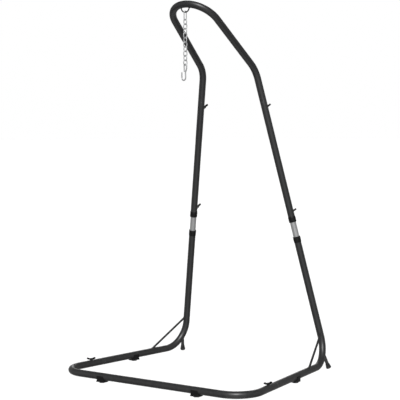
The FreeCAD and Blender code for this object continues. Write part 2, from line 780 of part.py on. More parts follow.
def hanger_loop():
    radius = size("loop_radius")
    rod = size("loop_rod_dia")
    body = new_body("hanger_loop_blank", Placement(LOOP_BOTTOM, Rotation()))
    # U of rod: up one side, round the bottom and up the other, in the plane across the stand
    top = radius + 14.0
    points = [Vector(-radius, top, 0), Vector(-radius, 0, 0), Vector(radius, 0, 0),
              Vector(radius, top, 0)]
    path = path_sketch(body, "XZ_Plane", points, [radius, radius],
                       ["Sizes.loop_radius", "Sizes.loop_radius"])
    section = sketch_on(body, "XY_Plane", "Section")
    section.AttachmentOffset = Placement(Vector(-radius, 0, top), Rotation())
    index = section.addGeometry(Part.Circle(Vector(0, 0, 0), Vector(0, 0, 1), rod / 2.0), False)
    bind(section, Sketcher.Constraint("Diameter", index, rod), "Sizes.loop_rod_dia")
    pipe(body, section, path)
    doc.recompute()
    ring_tool = doc.addObject("Part::Torus", "ArchSkin")
    ring_tool.Radius1 = bend_r
    ring_tool.Radius2 = tube_r
    ring_tool.setExpression("Radius1", "Sizes.bend_radius")
    ring_tool.setExpression("Radius2", "Sizes.tube_od / 2")
    normal = Vector(1, 0, 0).cross(BACKWARD)
    ring_tool.Placement = along(ARC_CENTRE, normal, Vector(1, 0, 0))
    item = cut("hanger_loop_cut", body, ring_tool)
    doc.recompute()
    item.Label = "hanger_loop"
    node(item)


# ---------------------------------------------------------------- chain
def heading(turns):
    angle = math.radians(size("chain_turn") + 90.0 * turns)
    return Vector(math.cos(angle), math.sin(angle), 0.0)


def chain_link(label, top, across, inner_length, spacing, spacing_name):
    """Closed oval link hanging from its top wire centre; across is its flat side's direction."""
    wire = size("chain_wire")
    length = inner_length + wire
    half = spacing / 2.0
    where = axes_placement(top, across, Vector(0, 0, 1).cross(across))
    body = new_body(label, where)
    corners = [Vector(-half, -length / 2.0, 0), Vector(-half, -length, 0), Vector(half, -length, 0),
               Vector(half, 0, 0), Vector(-half, 0, 0), Vector(-half, -length / 2.0, 0)]
    names = ["Sizes.%s / 2" % spacing_name] * 4
    path = path_sketch(body, "XZ_Plane", corners, [half] * 4, names, closed=True)
    section = sketch_on(body, "XY_Plane", "Section")
    section.AttachmentOffset = Placement(Vector(-half, 0, -length / 2.0), Rotation())
    index = section.addGeometry(Part.Circle(Vector(0, 0, 0), Vector(0, 0, 1), wire / 2.0), False)
    bind(section, Sketcher.Constraint("Diameter", index, wire), "Sizes.chain_wire")
    pipe(body, section, path)
    doc.recompute()
    node(body)


def chain_and_hook():
    wire = size("chain_wire")
    gap = size("contact_gap")
    top = LOOP_BOTTOM + Vector(0, 0, (size("loop_rod_dia") + wire) / 2.0 + gap)
    chain_link("chain_link_0", top, heading(1), size("first_inner_length"),
               size("first_spacing"), "first_spacing")
    top = top - Vector(0, 0, size("first_inner_length") - gap)
    for number in range(1, LINK_COUNT + 1):
        chain_link("chain_link_%d" % number, top, heading(number % 2 - 1 if number % 2 else 1),
                   size("link_inner_length"), size("link_spacing"), "link_spacing")
        top = top - Vector(0, 0, size("link_inner_length") - gap)
    # top is now where one more link would start: the hook's eye sits the wires' difference higher
    hook_top = top + Vector(0, 0, (size("hook_wire") - wire) / 2.0)
    s_hook(hook_top, heading(0))


def s_hook(top, across):
    wire = size("hook_wire")
    eye = size("hook_eye_radius")
    bowl = size("hook_bowl_radius")
    length = size("hook_length")
    right = 3.2
    left = right - 2.0 * bowl
    body = new_body("s_hook", axes_placement(top, across, Vector(0, 0, 1).cross(across)))
    points = [Vector(-wire - 0.6, -40.5, 0), Vector(-eye, 0, 0), Vector(eye, 0, 0),
              Vector(eye, -23.0, 0), Vector(0.6, -44.0, 0), Vector(right, -length, 0),
              Vector(left, -length, 0), Vector(left, -41.0, 0)]
    radii = [eye - 0.6, eye - 0.6, 11.0, 14.0, bowl - 0.9, bowl - 0.9]
    names = ["Sizes.hook_eye_radius - 0.6", "Sizes.hook_eye_radius - 0.6", None, None,
             "Sizes.hook_bowl_radius - 0.9", "Sizes.hook_bowl_radius - 0.9"]
    points.reverse()
    radii.reverse()
    names.reverse()
    path = path_sketch(body, "XZ_Plane", points, radii, names)
    section = sketch_on(body, "XY_Plane", "Section")
    section.AttachmentOffset = Placement(Vector(left, 0, -41.0), Rotation())
    index = section.addGeometry(Part.Circle(Vector(0, 0, 0), Vector(0, 0, 1), wire / 2.0), False)
    bind(section, Sketcher.Constraint("Diameter", index, wire), "Sizes.hook_wire")
    pipe(body, section, path)
    doc.recompute()
    node(body)


# ---------------------------------------------------------------- build
base_front_tube()
base_rivet_nuts()
for one in LEGS:
    leg_tube(one)
    inner_tube(one)
    middle_tube(one)
    lip_low = size("leg_tube_top") + size("collar_lip")
    collar(one, one.name + "_lower_collar", lip_low, -1.0, "collar_grip_gap")
    lip_high = size("middle_tube_foot") - size("collar_lip")
    collar(one, one.name + "_upper_collar", lip_high, 1.0, "collar_slide_gap")
    stub_and_foot(one)
    brace(one)
    rail_turn = {"left": 154.0, "right": 151.0}[one.name]
    lock_turn = {"left": 38.0, "right": 68.0}[one.name]
    arch_turn = {"left": 43.0, "right": 66.0}[one.name]
    high_seat = tube_r + size("nut_rise") + 0.3
    wing_bolt(one.name + "_base_wing_bolt", rail_seat(one, size("base_bolt_at"), rail_turn),
              tube_r + 1.3, 9.0)
    wing_bolt(one.name + "_lock_wing_bolt", bolt_seat(one, size("lock_bolt_at"), lock_turn),
              high_seat, size("inner_od") / 2.0 + 0.9)
    wing_bolt(one.name + "_arch_wing_bolt", bolt_seat(one, size("arch_bolt_at"), arch_turn),
              high_seat, 10.0)
feet()
top_arch_tube()
upper_weld_nuts()
hanger_loop()
chain_and_hook()
doc.recompute()

# ---------------------------------------------------------------- checks and STEP files
for item in doc.Objects:
    for flag in item.State:
        if flag in ("Invalid", "Error"):
            raise RuntimeError("%s is %s" % (item.Name, flag))
os.makedirs("parts", exist_ok=True)
low = [1e9] * 3
high = [-1e9] * 3
for item in NODES:
    shape = item.Shape
    if shape.isNull() or not shape.isValid() or shape.Volume <= 0.0:
        raise RuntimeError("%s has no valid shape" % item.Label)
    box = shape.optimalBoundingBox(False, False)
    low = [min(a, b) for a, b in zip(low, (box.XMin, box.YMin, box.ZMin))]
    high = [max(a, b) for a, b in zip(high, (box.XMax, box.YMax, box.ZMax))]
    shape.exportStep(os.path.join("parts", item.Label + ".step"))
    print("%-26s solids %d volume %.1f" % (item.Label, len(shape.Solids), shape.Volume))
print("nodes", len(NODES), "low", low, "high", high)
print("loop bottom", LOOP_BOTTOM, "crest", CREST)
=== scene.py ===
"""Hammock chair stand: looks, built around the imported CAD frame. Metres, +Z up, -Y to the front."""

import math
import random

import bmesh
import bpy
from mathutils import Matrix, Vector


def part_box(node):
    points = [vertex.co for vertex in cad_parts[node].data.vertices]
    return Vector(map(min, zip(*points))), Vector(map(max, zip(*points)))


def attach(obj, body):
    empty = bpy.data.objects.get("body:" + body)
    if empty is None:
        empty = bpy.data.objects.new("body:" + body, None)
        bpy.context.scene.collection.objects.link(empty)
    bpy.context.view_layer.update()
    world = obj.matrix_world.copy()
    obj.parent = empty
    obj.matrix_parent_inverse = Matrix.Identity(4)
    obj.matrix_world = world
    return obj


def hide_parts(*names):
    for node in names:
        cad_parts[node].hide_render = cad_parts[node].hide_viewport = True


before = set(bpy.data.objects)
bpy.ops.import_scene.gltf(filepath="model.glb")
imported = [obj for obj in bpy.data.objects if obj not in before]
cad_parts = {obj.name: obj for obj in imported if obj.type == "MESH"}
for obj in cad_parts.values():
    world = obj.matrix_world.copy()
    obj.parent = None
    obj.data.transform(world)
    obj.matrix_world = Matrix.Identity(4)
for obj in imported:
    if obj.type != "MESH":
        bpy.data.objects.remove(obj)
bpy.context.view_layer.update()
random.seed(7)

# ---------------------------------------------------------------- sizes, as the CAD has them
# virtual corners of the tubes' centreline
FRONT_HALF_WIDTH = 0.608
REAR_HALF_WIDTH = 0.4895
BASE_DEPTH = 1.004
SHOULDER_HALF_WIDTH = 0.174
SHOULDER_LEAN = 0.250
SHOULDER_RISE = 1.623
APEX_LEAN = 1.766
APEX_RISE = 2.8595
# tubes; distances along a rail or an upright are taken from its virtual corner
TUBE_R = 0.019
TUBE_WALL = 0.0012
BEND_R = 0.138
BASE_SEAM = 0.330
BASE_SPIGOT_R = 0.0162
BASE_SPIGOT_LENGTH = 0.130
ARCH_SEAM = 1.500
ARCH_SPIGOT_R = 0.0176
ARCH_SPIGOT_LENGTH = 0.090
SEAM_GAP = 0.0006
LEG_TOP = 0.7245
MIDDLE_FOOT = 0.815
INNER_R = 0.0167
INNER_WALL = 0.0015
INNER_FOOT = 0.560
INNER_LENGTH = 0.417
INNER_HOLE_PITCH = 0.05
# collars
COLLAR_R = 0.0208
COLLAR_LENGTH = 0.033
COLLAR_LIP = 0.004
COLLAR_GRIP_GAP = 0.00005
COLLAR_SLIDE_GAP = 0.001
# bolts, their holes and their nuts
BOLT_R = 0.0039
BOLT_HOLE_R = 0.0045
RIVET_HOLE_R = 0.0062
HOLE_DEPTH = 0.03
NUT_R = 0.0085
NUT_RISE = 0.0065
NUT_BORE = BOLT_R + 0.00008
BASE_BOLT_AT = 0.240
LOCK_BOLT_AT = 0.867
ARCH_BOLT_AT = 1.462
LOW_SEAT = TUBE_R + 0.0013
HIGH_SEAT = TUBE_R + NUT_RISE + 0.0003
BASE_BOLT_TIP = 0.009
LOCK_BOLT_TIP = INNER_R + 0.0009
ARCH_BOLT_TIP = 0.010
# how far each wing bolt is turned, in degrees
BASE_TURN = {"left": 154.0, "right": 151.0}
LOCK_TURN = {"left": 38.0, "right": 68.0}
ARCH_TURN = {"left": 43.0, "right": 66.0}
# feet, stubs and braces
FRONT_FOOT_AT = 0.305
RAIL_FOOT_AT = 0.578
REAR_FOOT_OUT = 0.502
REAR_FOOT_IN_FRONT = 0.004
STUB_R = 0.0095
BRACE_R = 0.006
BRACE_RAIL_AT = 0.719
BRACE_UPRIGHT_AT = 0.179
BRACE_OUT = 0.010
# hanger loop, chain and hook
LOOP_R = 0.026
LOOP_ROD_R = 0.0035
LOOP_DROP = 0.0428
CHAIN_R = 0.0025
FIRST_LINK_INNER = 0.0426
FIRST_LINK_SPACING = 0.0155
LINK_INNER = 0.024
LINK_SPACING = 0.0225
LAST_LINK = 10
LINK_GAP = 0.0003
CHAIN_TURN = math.radians(-14.3)
HOOK_R = 0.0035
# how finely a rod's length is searched for where it meets a tube's skin
SEARCH_STEP = 0.0002

UP = Vector((0.0, 0.0, 1.0))
ACROSS = Vector((1.0, 0.0, 0.0))
ALONG = Vector((0.0, 1.0, 0.0))


def unit(vector):
    return Vector(vector).normalized()


# the frame's virtual corners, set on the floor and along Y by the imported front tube
front_low, front_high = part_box("base_front_tube")
SHIFT = Vector((0.0, front_low.y + TUBE_R + BASE_DEPTH, (front_low.z + front_high.z) / 2.0))
APEX = Vector((0.0, -APEX_LEAN, APEX_RISE)) + SHIFT


class Leg:
    """Points and directions of one side of the frame; side is +1 on the right, -1 on the left."""

    def __init__(self, side):
        self.side = side
        self.name = "right" if side > 0 else "left"
        self.front = Vector((side * FRONT_HALF_WIDTH, -BASE_DEPTH, 0.0)) + SHIFT
        self.rear = Vector((side * REAR_HALF_WIDTH, 0.0, 0.0)) + SHIFT
        self.shoulder = Vector((side * SHOULDER_HALF_WIDTH, -SHOULDER_LEAN, SHOULDER_RISE)) + SHIFT
        self.rail = unit(self.rear - self.front)
        self.upright = unit(self.shoulder - self.rear)
        self.lift = unit(self.upright - self.rail * self.upright.dot(self.rail))
        self.normal = self.rail.cross(self.lift)
        self.back = unit(self.rail - self.upright * self.upright.dot(self.rail))
        bend_angle = math.acos(self.rail.dot(self.upright))
        bisector = unit(self.upright - self.rail)
        self.bend_centre = self.rear + bisector * (BEND_R / math.cos(bend_angle / 2.0))

    def on_rail(self, distance):
        return self.front + self.rail * distance

    def on_upright(self, distance):
        return self.rear + self.upright * distance


LEGS = [Leg(-1), Leg(1)]
LEFT, RIGHT = LEGS

arm = APEX - RIGHT.shoulder
ARM_HALF_ANGLE = math.asin(RIGHT.shoulder.x / arm.length)
BACKWARD = unit((0.0, -arm.y, -arm.z))
ARC_CENTRE = APEX + BACKWARD * (BEND_R / math.sin(ARM_HALF_ANGLE))
ARC_NORMAL = ACROSS.cross(BACKWARD)
LOOP_BOTTOM = ARC_CENTRE - BACKWARD * BEND_R - UP * LOOP_DROP


# ---------------------------------------------------------------- paths
def rounded(points, radii, spacing=0.02, turn_step=math.radians(3.0)):
    """Samples (point, tangent) along a polyline whose corners are rounded to the radii."""
    samples = []

    def run(start, end):
        count = max(1, round((end - start).length / spacing))
        direction = unit(end - start)
        for i in range(count):
            samples.append((start.lerp(end, i / count), direction))

    start = Vector(points[0])
    for index in range(1, len(points) - 1):
        here = Vector(points[index])
        into = unit(here - Vector(points[index - 1]))
        onward = unit(Vector(points[index + 1]) - here)
        radius = radii[index - 1]
        turn = math.acos(max(-1.0, min(1.0, into.dot(onward))))
        reach = radius * math.tan(turn / 2.0)
        first = here - into * reach
        if (first - start).length > 1e-5:
            run(start, first)
        centre = here + unit(onward - into) * (radius / math.cos(turn / 2.0))
        count = max(2, math.ceil(turn / turn_step))
        outward = unit(first - centre)
        for i in range(count + 1):
            angle = turn * i / count
            samples.append((centre + (outward * math.cos(angle) + into * math.sin(angle)) * radius,
                            into * math.cos(angle) - outward * math.sin(angle)))
        start = here + onward * reach
        samples.pop()
    end = Vector(points[-1])
    if (end - start).length > 1e-5:
        run(start, end)
        samples.append((end, unit(end - start)))
    else:
        samples.append((end, samples[-1][1]))
    return samples


def framed(samples, side):
    """Adds to each sample a cross-section's two axes, carried along without twist."""
    result = []
    for point, tangent in samples:
        side = unit(side - tangent * side.dot(tangent))
        result.append((point, side, tangent.cross(side)))
    return result


# ---------------------------------------------------------------- meshes
SHARP_ANGLE = 32.0


class Shell:
    """A mesh made of rings of points; wear is 1 where a tube end or an edge gets rubbed."""

    def __init__(self, segments=48):
        self.segments = segments
        self.verts = []
        self.faces = []
        self.wear = []
        self.section = []

    def ring(self, centre, ex, ey, radius, wear=0.0, along=0.0):
        if not callable(radius) and radius < 1e-7:
            self.verts.append(centre)
            self.wear.append(wear)
            self.section.append((0.0, 0.0, along))
            return [len(self.verts) - 1]
        first = len(self.verts)
        for i in range(self.segments):
            angle = 2.0 * math.pi * i / self.segments
            r = radius(angle) if callable(radius) else radius
            x, y = r * math.cos(angle), r * math.sin(angle)
            self.verts.append(centre + ex * x + ey * y)
            self.wear.append(wear)
            self.section.append((x, y, along))
        return list(range(first, first + self.segments))

    def bridge(self, one, other):
        n = self.segments
        if len(one) == 1 and len(other) == 1:
            return
        for i in range(n):
            j = (i + 1) % n
            if len(one) == 1:
                self.faces.append((one[0], other[j], other[i]))
            elif len(other) == 1:
                self.faces.append((one[i], one[j], other[0]))
            else:
                self.faces.append((one[i], one[j], other[j], other[i]))

    def loft(self, rings, closed=False):
        """rings are (centre, ex, ey, radius, wear). Open ends are capped."""
        loops = []
        along = 0.0
        before = None
        for centre, ex, ey, radius, wear in rings:
            if before is not None:
                along += (centre - before).length
            before = centre
            loops.append(self.ring(centre, ex, ey, radius, wear, along))
        for one, other in zip(loops, loops[1:]):
            self.bridge(one, other)
        if closed:
            self.bridge(loops[-1], loops[0])
        else:
            for loop in (loops[0], loops[-1]):
                if len(loop) > 1:
                    self.faces.append(tuple(loop))

    def turned(self, origin, axis, profile, hint=ACROSS, closed=False):
        """A turned shape: profile is (height along the axis, radius[, wear])."""
        if abs(axis.dot(hint)) > 0.95:
            hint = ALONG
        ex = unit(hint - axis * hint.dot(axis))
        ey = axis.cross(ex)
        rings = [(origin + axis * p[0], ex, ey, p[1], p[2] if len(p) > 2 else 0.0)
                 for p in profile]
        self.loft(rings, closed)

    def make(self, name, material=None, sharp=SHARP_ANGLE):
        mesh = bpy.data.meshes.new(name)
        mesh.from_pydata([tuple(v) for v in self.verts], [], self.faces)
        for label, kind, values in (("wear", "FLOAT", self.wear),
                                    ("section", "FLOAT_VECTOR", self.section)):
            attribute = mesh.attributes.new(label, kind, "POINT")
            if kind == "FLOAT":
                attribute.data.foreach_set("value", values)
            else:
                attribute.data.foreach_set("vector", [c for v in values for c in v])
        return finished(mesh, name, material, sharp)


def shade_smooth(mesh, sharp):
    """Smooth shading, broken at edges sharper than the angle in degrees."""
    for polygon in mesh.polygons:
        polygon.use_smooth = True
    mesh.set_sharp_from_angle(angle=math.radians(sharp))


def add_object(name, data):
    item = bpy.data.objects.new(name, data)
    bpy.context.scene.collection.objects.link(item)
    return item


def finished(mesh, name, material, sharp):
    """An object from a mesh, with outward normals and shaded."""
    work = bmesh.new()
    work.from_mesh(mesh)
    bmesh.ops.recalc_face_normals(work, faces=work.faces)
    work.to_mesh(mesh)
    work.free()
    shade_smooth(mesh, sharp)
    item = add_object(name, mesh)
    if material is not None:
        mesh.materials.append(material)
    return item


def apply_modifiers(item):
    """Replaces the object's mesh by what its modifiers make of it."""
    bpy.context.view_layer.update()
    graph = bpy.context.evaluated_depsgraph_get()
    result = bpy.data.meshes.new_from_object(item.evaluated_get(graph))
    item.modifiers.clear()
    item.data = result


def cut_away(item, cutters):
    """Boolean difference with other objects, which are then removed."""
    for cutter in cutters:
        modifier = item.modifiers.new("cut", "BOOLEAN")
        modifier.operation = "DIFFERENCE"
        modifier.solver = "EXACT"
        modifier.object = cutter
    apply_modifiers(item)
    for cutter in cutters:
        bpy.data.objects.remove(cutter)
    shade_smooth(item.data, SHARP_ANGLE)


def drill(point, axis, radius=BOLT_HOLE_R):
    """A cutter for a hole in one wall of a tube, from the tube's axis outwards."""
    shell = Shell(32)
    shell.turned(point, axis, [(0.0, radius), (HOLE_DEPTH, radius)])
    return shell.make("drill")


def rod_end(radius, steps=5):
    """Profile of a domed end: (distance back from the tip, radius)."""
    return [(radius * (1.0 - math.cos(a)), radius * math.sin(a))
            for a in (math.pi / 2.0 * i / steps for i in range(steps + 1))]


def tube(name, path, side, start, end):
    """Hollow coated tube along path: start and end are lists of (distance from the end, radius)."""
    bore = TUBE_R - TUBE_WALL
    wear_reach = 0.05
    frames = framed(path, side)
    shell = Shell(56)
    total = 0.0
    marks = [0.0]
    for (one, _), (other, _) in zip(path, path[1:]):
        total += (other - one).length
        marks.append(total)

    def wear_at(mark):
        return max(0.0, 1.0 - min(mark, total - mark) / wear_reach)

    first, first_tangent = path[0]
    last, last_tangent = path[-1]

    def at_start(back, radius, wear):
        return (first + first_tangent * back, *frames[0][1:], radius, wear)

    def at_end(back, radius, wear):
        return (last - last_tangent * back, *frames[-1][1:], radius, wear)

    start_reach = max(back for back, _ in start)
    end_reach = max(back for back, _ in end)
    # the bore follows a narrower spigot
    start_bore = min(bore, max(radius for _, radius in start[:3]) - TUBE_WALL)
    end_bore = min(bore, max(radius for _, radius in end[:3]) - TUBE_WALL)
    rings = [at_start(back, radius, 1.0) for back, radius in start]
    inside = []
    for (point, ex, ey), mark in zip(frames, marks):
        if start_reach + 0.001 < mark < total - (end_reach + 0.001):
            rings.append((point, ex, ey, TUBE_R, wear_at(mark)))
            inside.append((point, ex, ey, bore, 0.0))
    rings += [at_end(back, radius, 1.0) for back, radius in reversed(end)]
    rings.append(at_end(end[0][0], end_bore, 0.5))
    if end_bore < bore:
        rings.append(at_end(end_reach + 0.0008, end_bore, 0.0))
    rings += reversed(inside)
    if start_bore < bore:
        rings.append(at_start(start_reach + 0.0008, start_bore, 0.0))
    rings.append(at_start(start[0][0], start_bore, 0.5))
    shell.loft(rings, closed=True)
    return shell.make(name, COAT)


# a plain tube end's rolled rim, from the mouth inwards: (distance from the end, radius)
PLAIN_END = [(0.0, TUBE_R - 0.0006), (0.00012, TUBE_R - 0.00026), (0.00036, TUBE_R - 0.00006),
             (0.0007, TUBE_R)]


def spigot_end(radius, length):
    """A swaged tube end: the spigot, its lead-in, and the rounded shoulder at the seam."""
    return [(-length, radius - 0.0009), (-length + 0.0003, radius - 0.0004),
            (-length + 0.0009, radius), (-0.00015, radius), (0.0, radius + 0.00015),
            (0.0, TUBE_R - 0.0006), (0.00012, TUBE_R - 0.00026), (0.00036, TUBE_R - 0.00006),
            (0.0007, TUBE_R)]


def weld_bead(shell, foot, axis, rod_r, gap_of, bead, phase):
    """A bead round a rod where it meets a tube: gap_of(point) is how far it is off the tube."""
    hint = UP if abs(axis.z) < 0.9 else ACROSS
    u = unit(hint - axis * hint.dot(axis))
    v = axis.cross(u)
    count, waves, wave_height, unevenness = 72, 12.0, 0.13, 0.05
    line = []
    for i in range(count):
        angle = 2.0 * math.pi * i / count
        radial = u * math.cos(angle) + v * math.sin(angle)
        base = foot + radial * rod_r
        low, high = -0.02, 0.05
        for _ in range(40):
            middle = (low + high) / 2.0
            if gap_of(base + axis * middle) > 0.0:
                high = middle
            else:
                low = middle
        line.append((base + axis * high, radial))
    rings = []
    for i, (point, radial) in enumerate(line):
        tangent = unit(line[(i + 1) % count][0] - line[i - 1][0])
        side = unit(radial - tangent * radial.dot(tangent))
        ripple = 1.0 + wave_height * math.sin(i * 2.0 * math.pi * waves / count + phase)
        ripple += random.uniform(-unevenness, unevenness)
        rings.append((point + radial * 0.0002, side, tangent.cross(side), bead * ripple, 0.0))
    shell.loft(rings, closed=True)


def line_gap(point_on_axis, direction):
    """The distance of a point from a straight tube's skin."""
    def gap(point):
        q = point - point_on_axis
        return (q - direction * q.dot(direction)).length - TUBE_R
    return gap


def arc_gap(centre, normal):
    """The distance of a point from a bent tube's skin."""
    def gap(point):
        q = point - centre
        height = q.dot(normal)
        across = (q - normal * height).length - BEND_R
        return math.hypot(across, height) - TUBE_R
    return gap


# ---------------------------------------------------------------- materials
class Look:
    """A node material with a Principled shader and a few shorthands."""

    def __init__(self, name, metallic=0.0, specular=0.5):
        self.material = bpy.data.materials.new(name)
        self.material.use_nodes = True
        self.nodes = self.material.node_tree.nodes
        self.links = self.material.node_tree.links
        self.shader = self.nodes["Principled BSDF"]
        self.shader.inputs["Metallic"].default_value = metallic
        self.shader.inputs["Specular IOR Level"].default_value = specular
        self.place = self.nodes.new("ShaderNodeTexCoord").outputs["Object"]
        self.normal = None

    def attribute(self, name, output):
        node = self.nodes.new("ShaderNodeAttribute")
        node.attribute_name = name
        return node.outputs[output]

    def scaled(self, vector, scale):
        node = self.nodes.new("ShaderNodeMapping")
        self.links.new(vector, node.inputs["Vector"])
        node.inputs["Scale"].default_value = scale
        return node.outputs["Vector"]

    def noise(self, scale, detail=3.0, roughness=0.55, vector=None):
        node = self.nodes.new("ShaderNodeTexNoise")
        self.links.new(vector or self.place, node.inputs["Vector"])
        node.inputs["Scale"].default_value = scale
        node.inputs["Detail"].default_value = detail
        node.inputs["Roughness"].default_value = roughness
        return node.outputs["Fac"]

    def cells(self, scale, feature="F1"):
        node = self.nodes.new("ShaderNodeTexVoronoi")
        node.feature = feature
        self.links.new(self.place, node.inputs["Vector"])
        node.inputs["Scale"].default_value = scale
        return node.outputs["Distance"]

    def span(self, value, low, high, to_low, to_high):
        node = self.nodes.new("ShaderNodeMapRange")
        self.links.new(value, node.inputs["Value"])
        for label, number in (("From Min", low), ("From Max", high),
                              ("To Min", to_low), ("To Max", to_high)):
            node.inputs[label].default_value = number
        return node.outputs["Result"]

    def math(self, operation, one, other):
        node = self.nodes.new("ShaderNodeMath")
        node.operation = operation
        for socket, value in zip(node.inputs, (one, other)):
            if isinstance(value, (int, float)):
                socket.default_value = value
            else:
                self.links.new(value, socket)
        return node.outputs["Value"]

    def ramp(self, value, stops):
        node = self.nodes.new("ShaderNodeValToRGB")
        self.links.new(value, node.inputs["Fac"])
        elements = node.color_ramp.elements
        while len(elements) < len(stops):
            elements.new(0.5)
        for element, (position, colour) in zip(elements, stops):
            element.position = position
            element.color = (*colour, 1.0)
        return node.outputs["Color"]

    def mix(self, factor, one, other):
        node = self.nodes.new("ShaderNodeMix")
        node.data_type = "RGBA"
        self.links.new(factor, node.inputs["Factor"])
        for socket, value in ((node.inputs[6], one), (node.inputs[7], other)):
            if isinstance(value, tuple):
                socket.default_value = (*value, 1.0)
            else:
                self.links.new(value, socket)
        return node.outputs[2]

    def bump(self, height, strength, distance):
        node = self.nodes.new("ShaderNodeBump")
        node.inputs["Strength"].default_value = strength
        node.inputs["Distance"].default_value = distance
        self.links.new(height, node.inputs["Height"])
        if self.normal is not None:
            self.links.new(self.normal, node.inputs["Normal"])
        self.normal = node.outputs["Normal"]

    def finish(self, colour, roughness):
        self.links.new(colour, self.shader.inputs["Base Color"])
        self.links.new(roughness, self.shader.inputs["Roughness"])
        if self.normal is not None:
            self.links.new(self.normal, self.shader.inputs["Normal"])
        return self.material

    def near_floor(self, height):
        node = self.nodes.new("ShaderNodeSeparateXYZ")
        self.links.new(self.place, node.inputs["Vector"])
        return self.span(node.outputs["Z"], 0.0, height, 1.0, 0.0)


def powder_coat():
    look = Look("powder_coat_charcoal", specular=0.42)
    mottle = look.noise(190.0, 4.0, 0.6)
    cloud = look.noise(5.0, 2.0)
    tone = look.math("ADD", look.math("MULTIPLY", mottle, 0.65),
                     look.math("MULTIPLY", cloud, 0.35))
    base = look.ramp(tone, [(0.30, (0.0130, 0.0130, 0.0135)), (0.52, (0.0168, 0.0169, 0.0175)),
                            (0.74, (0.0222, 0.0223, 0.0231))])
    # a few paler specks of coarse powder
    specks = look.span(look.noise(900.0, 1.0), 0.70, 0.76, 0.0, 0.35)
    base = look.mix(specks, base, (0.085, 0.086, 0.088))
    # tube mouths and seams rubbed by assembly
    rubbed = look.math("MULTIPLY", look.attribute("wear", "Fac"),
                       look.span(look.noise(140.0, 5.0, 0.7), 0.52, 0.66, 0.0, 0.35))
    base = look.mix(rubbed, base, (0.115, 0.116, 0.118))
    # a little dust settles low on the frame
    dust = look.math("MULTIPLY", look.near_floor(0.16),
                     look.span(look.noise(60.0, 5.0, 0.65), 0.42, 0.75, 0.0, 0.10))
    base = look.mix(dust, base, (0.140, 0.132, 0.120))
    roughness = look.span(look.noise(75.0, 4.0), 0.25, 0.75, 0.36, 0.50)
    look.bump(look.noise(430.0, 2.0, 0.45), 0.16, 0.0005)
    look.bump(look.noise(1700.0, 2.0, 0.6), 0.10, 0.0002)
    return look.finish(base, roughness)


def zinc_plate(name, level):
    """Plated steel; level scales its colour, down to near black where the zinc stands for painted
    shade.
    """
    look = Look(name, metallic=0.45)
    spangle = look.cells(260.0)
    tone = look.math("ADD", look.math("MULTIPLY", look.noise(320.0, 5.0, 0.65), 0.6),
                     look.math("MULTIPLY", spangle, 0.4))

    def scaled(*colour):
        return tuple(part * level for part in colour)

    base = look.ramp(tone, [(0.25, scaled(0.30, 0.305, 0.31)), (0.50, scaled(0.39, 0.395, 0.40)),
                            (0.78, scaled(0.50, 0.505, 0.50))])
    stain = look.span(look.noise(120.0, 4.0, 0.7), 0.60, 0.78, 0.0, 0.45)
    base = look.mix(stain, base, scaled(0.27, 0.265, 0.25))
    roughness = look.span(look.noise(240.0, 4.0), 0.25, 0.75, 0.30, 0.52)
    look.bump(look.noise(800.0, 3.0, 0.6), 0.18, 0.0003)
    return look.finish(base, roughness)


def drawn_steel():
    """The sliding tubes: dull steel, streaked along its length by the outer tube's guide."""
    look = Look("drawn_steel", metallic=0.55)
    lengthwise = look.scaled(look.attribute("section", "Vector"), (1.0, 1.0, 0.02))
    streak = look.noise(420.0, 5.0, 0.65, lengthwise)
    fine = look.noise(1400.0, 3.0, 0.6, lengthwise)
    base = look.ramp(streak, [(0.28, (0.27, 0.272, 0.275)), (0.50, (0.33, 0.332, 0.335)),
                              (0.72, (0.40, 0.402, 0.405))])
    smudge = look.span(look.noise(38.0, 4.0, 0.6), 0.52, 0.75, 0.0, 0.30)
    base = look.mix(smudge, base, (0.25, 0.25, 0.25))
    roughness = look.span(fine, 0.25, 0.75, 0.38, 0.58)
    look.bump(streak, 0.10, 0.0002)
    look.bump(fine, 0.10, 0.0001)
    return look.finish(base, roughness)


def moulded_plastic():
    look = Look("moulded_black_plastic", specular=0.16)
    grain = look.cells(1500.0, "SMOOTH_F1")
    base = look.ramp(look.noise(55.0, 4.0, 0.6), [(0.30, (0.0038, 0.0038, 0.0040)),
                                                  (0.70, (0.0075, 0.0075, 0.0079))])
    scuff = look.span(look.noise(210.0, 5.0, 0.75), 0.62, 0.80, 0.0, 0.35)
    base = look.mix(scuff, base, (0.024, 0.024, 0.025))
    roughness = look.span(look.noise(90.0, 3.0), 0.25, 0.75, 0.40, 0.58)
    look.bump(grain, 0.22, 0.00015)
    look.bump(look.noise(160.0, 2.0), 0.10, 0.0004)
    return look.finish(base, roughness)


def black_rubber():
    look = Look("black_rubber", specular=0.30)
    base = look.ramp(look.noise(80.0, 5.0, 0.65), [(0.30, (0.0075, 0.0075, 0.0078)),
                                                   (0.72, (0.0150, 0.0150, 0.0153))])
    dust = look.math("MULTIPLY", look.near_floor(0.02),
                     look.span(look.noise(300.0, 4.0, 0.7), 0.40, 0.75, 0.0, 0.40))
    base = look.mix(dust, base, (0.120, 0.112, 0.100))
    roughness = look.span(look.noise(140.0, 4.0), 0.25, 0.75, 0.66, 0.84)
    look.bump(look.noise(950.0, 3.0, 0.65), 0.25, 0.0003)
    return look.finish(base, roughness)


COAT = powder_coat()
ZINC = zinc_plate("zinc_plate", 1.0)
# zinc darkened to near black: painted shade for the rivet-nut rings under the wing hubs
ZINC_PAINTED_SHADE = zinc_plate("zinc_plate_painted_shade", 0.05)
STEEL = drawn_steel()
PLASTIC = moulded_plastic()
RUBBER = black_rubber()


def place(item, body, slot, *nodes):
    """Rides the item on a CAD body and hides the nodes that it replaces; the slot argument is not
    used.
    """
    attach(item, body)
    if nodes:
        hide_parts(*nodes)


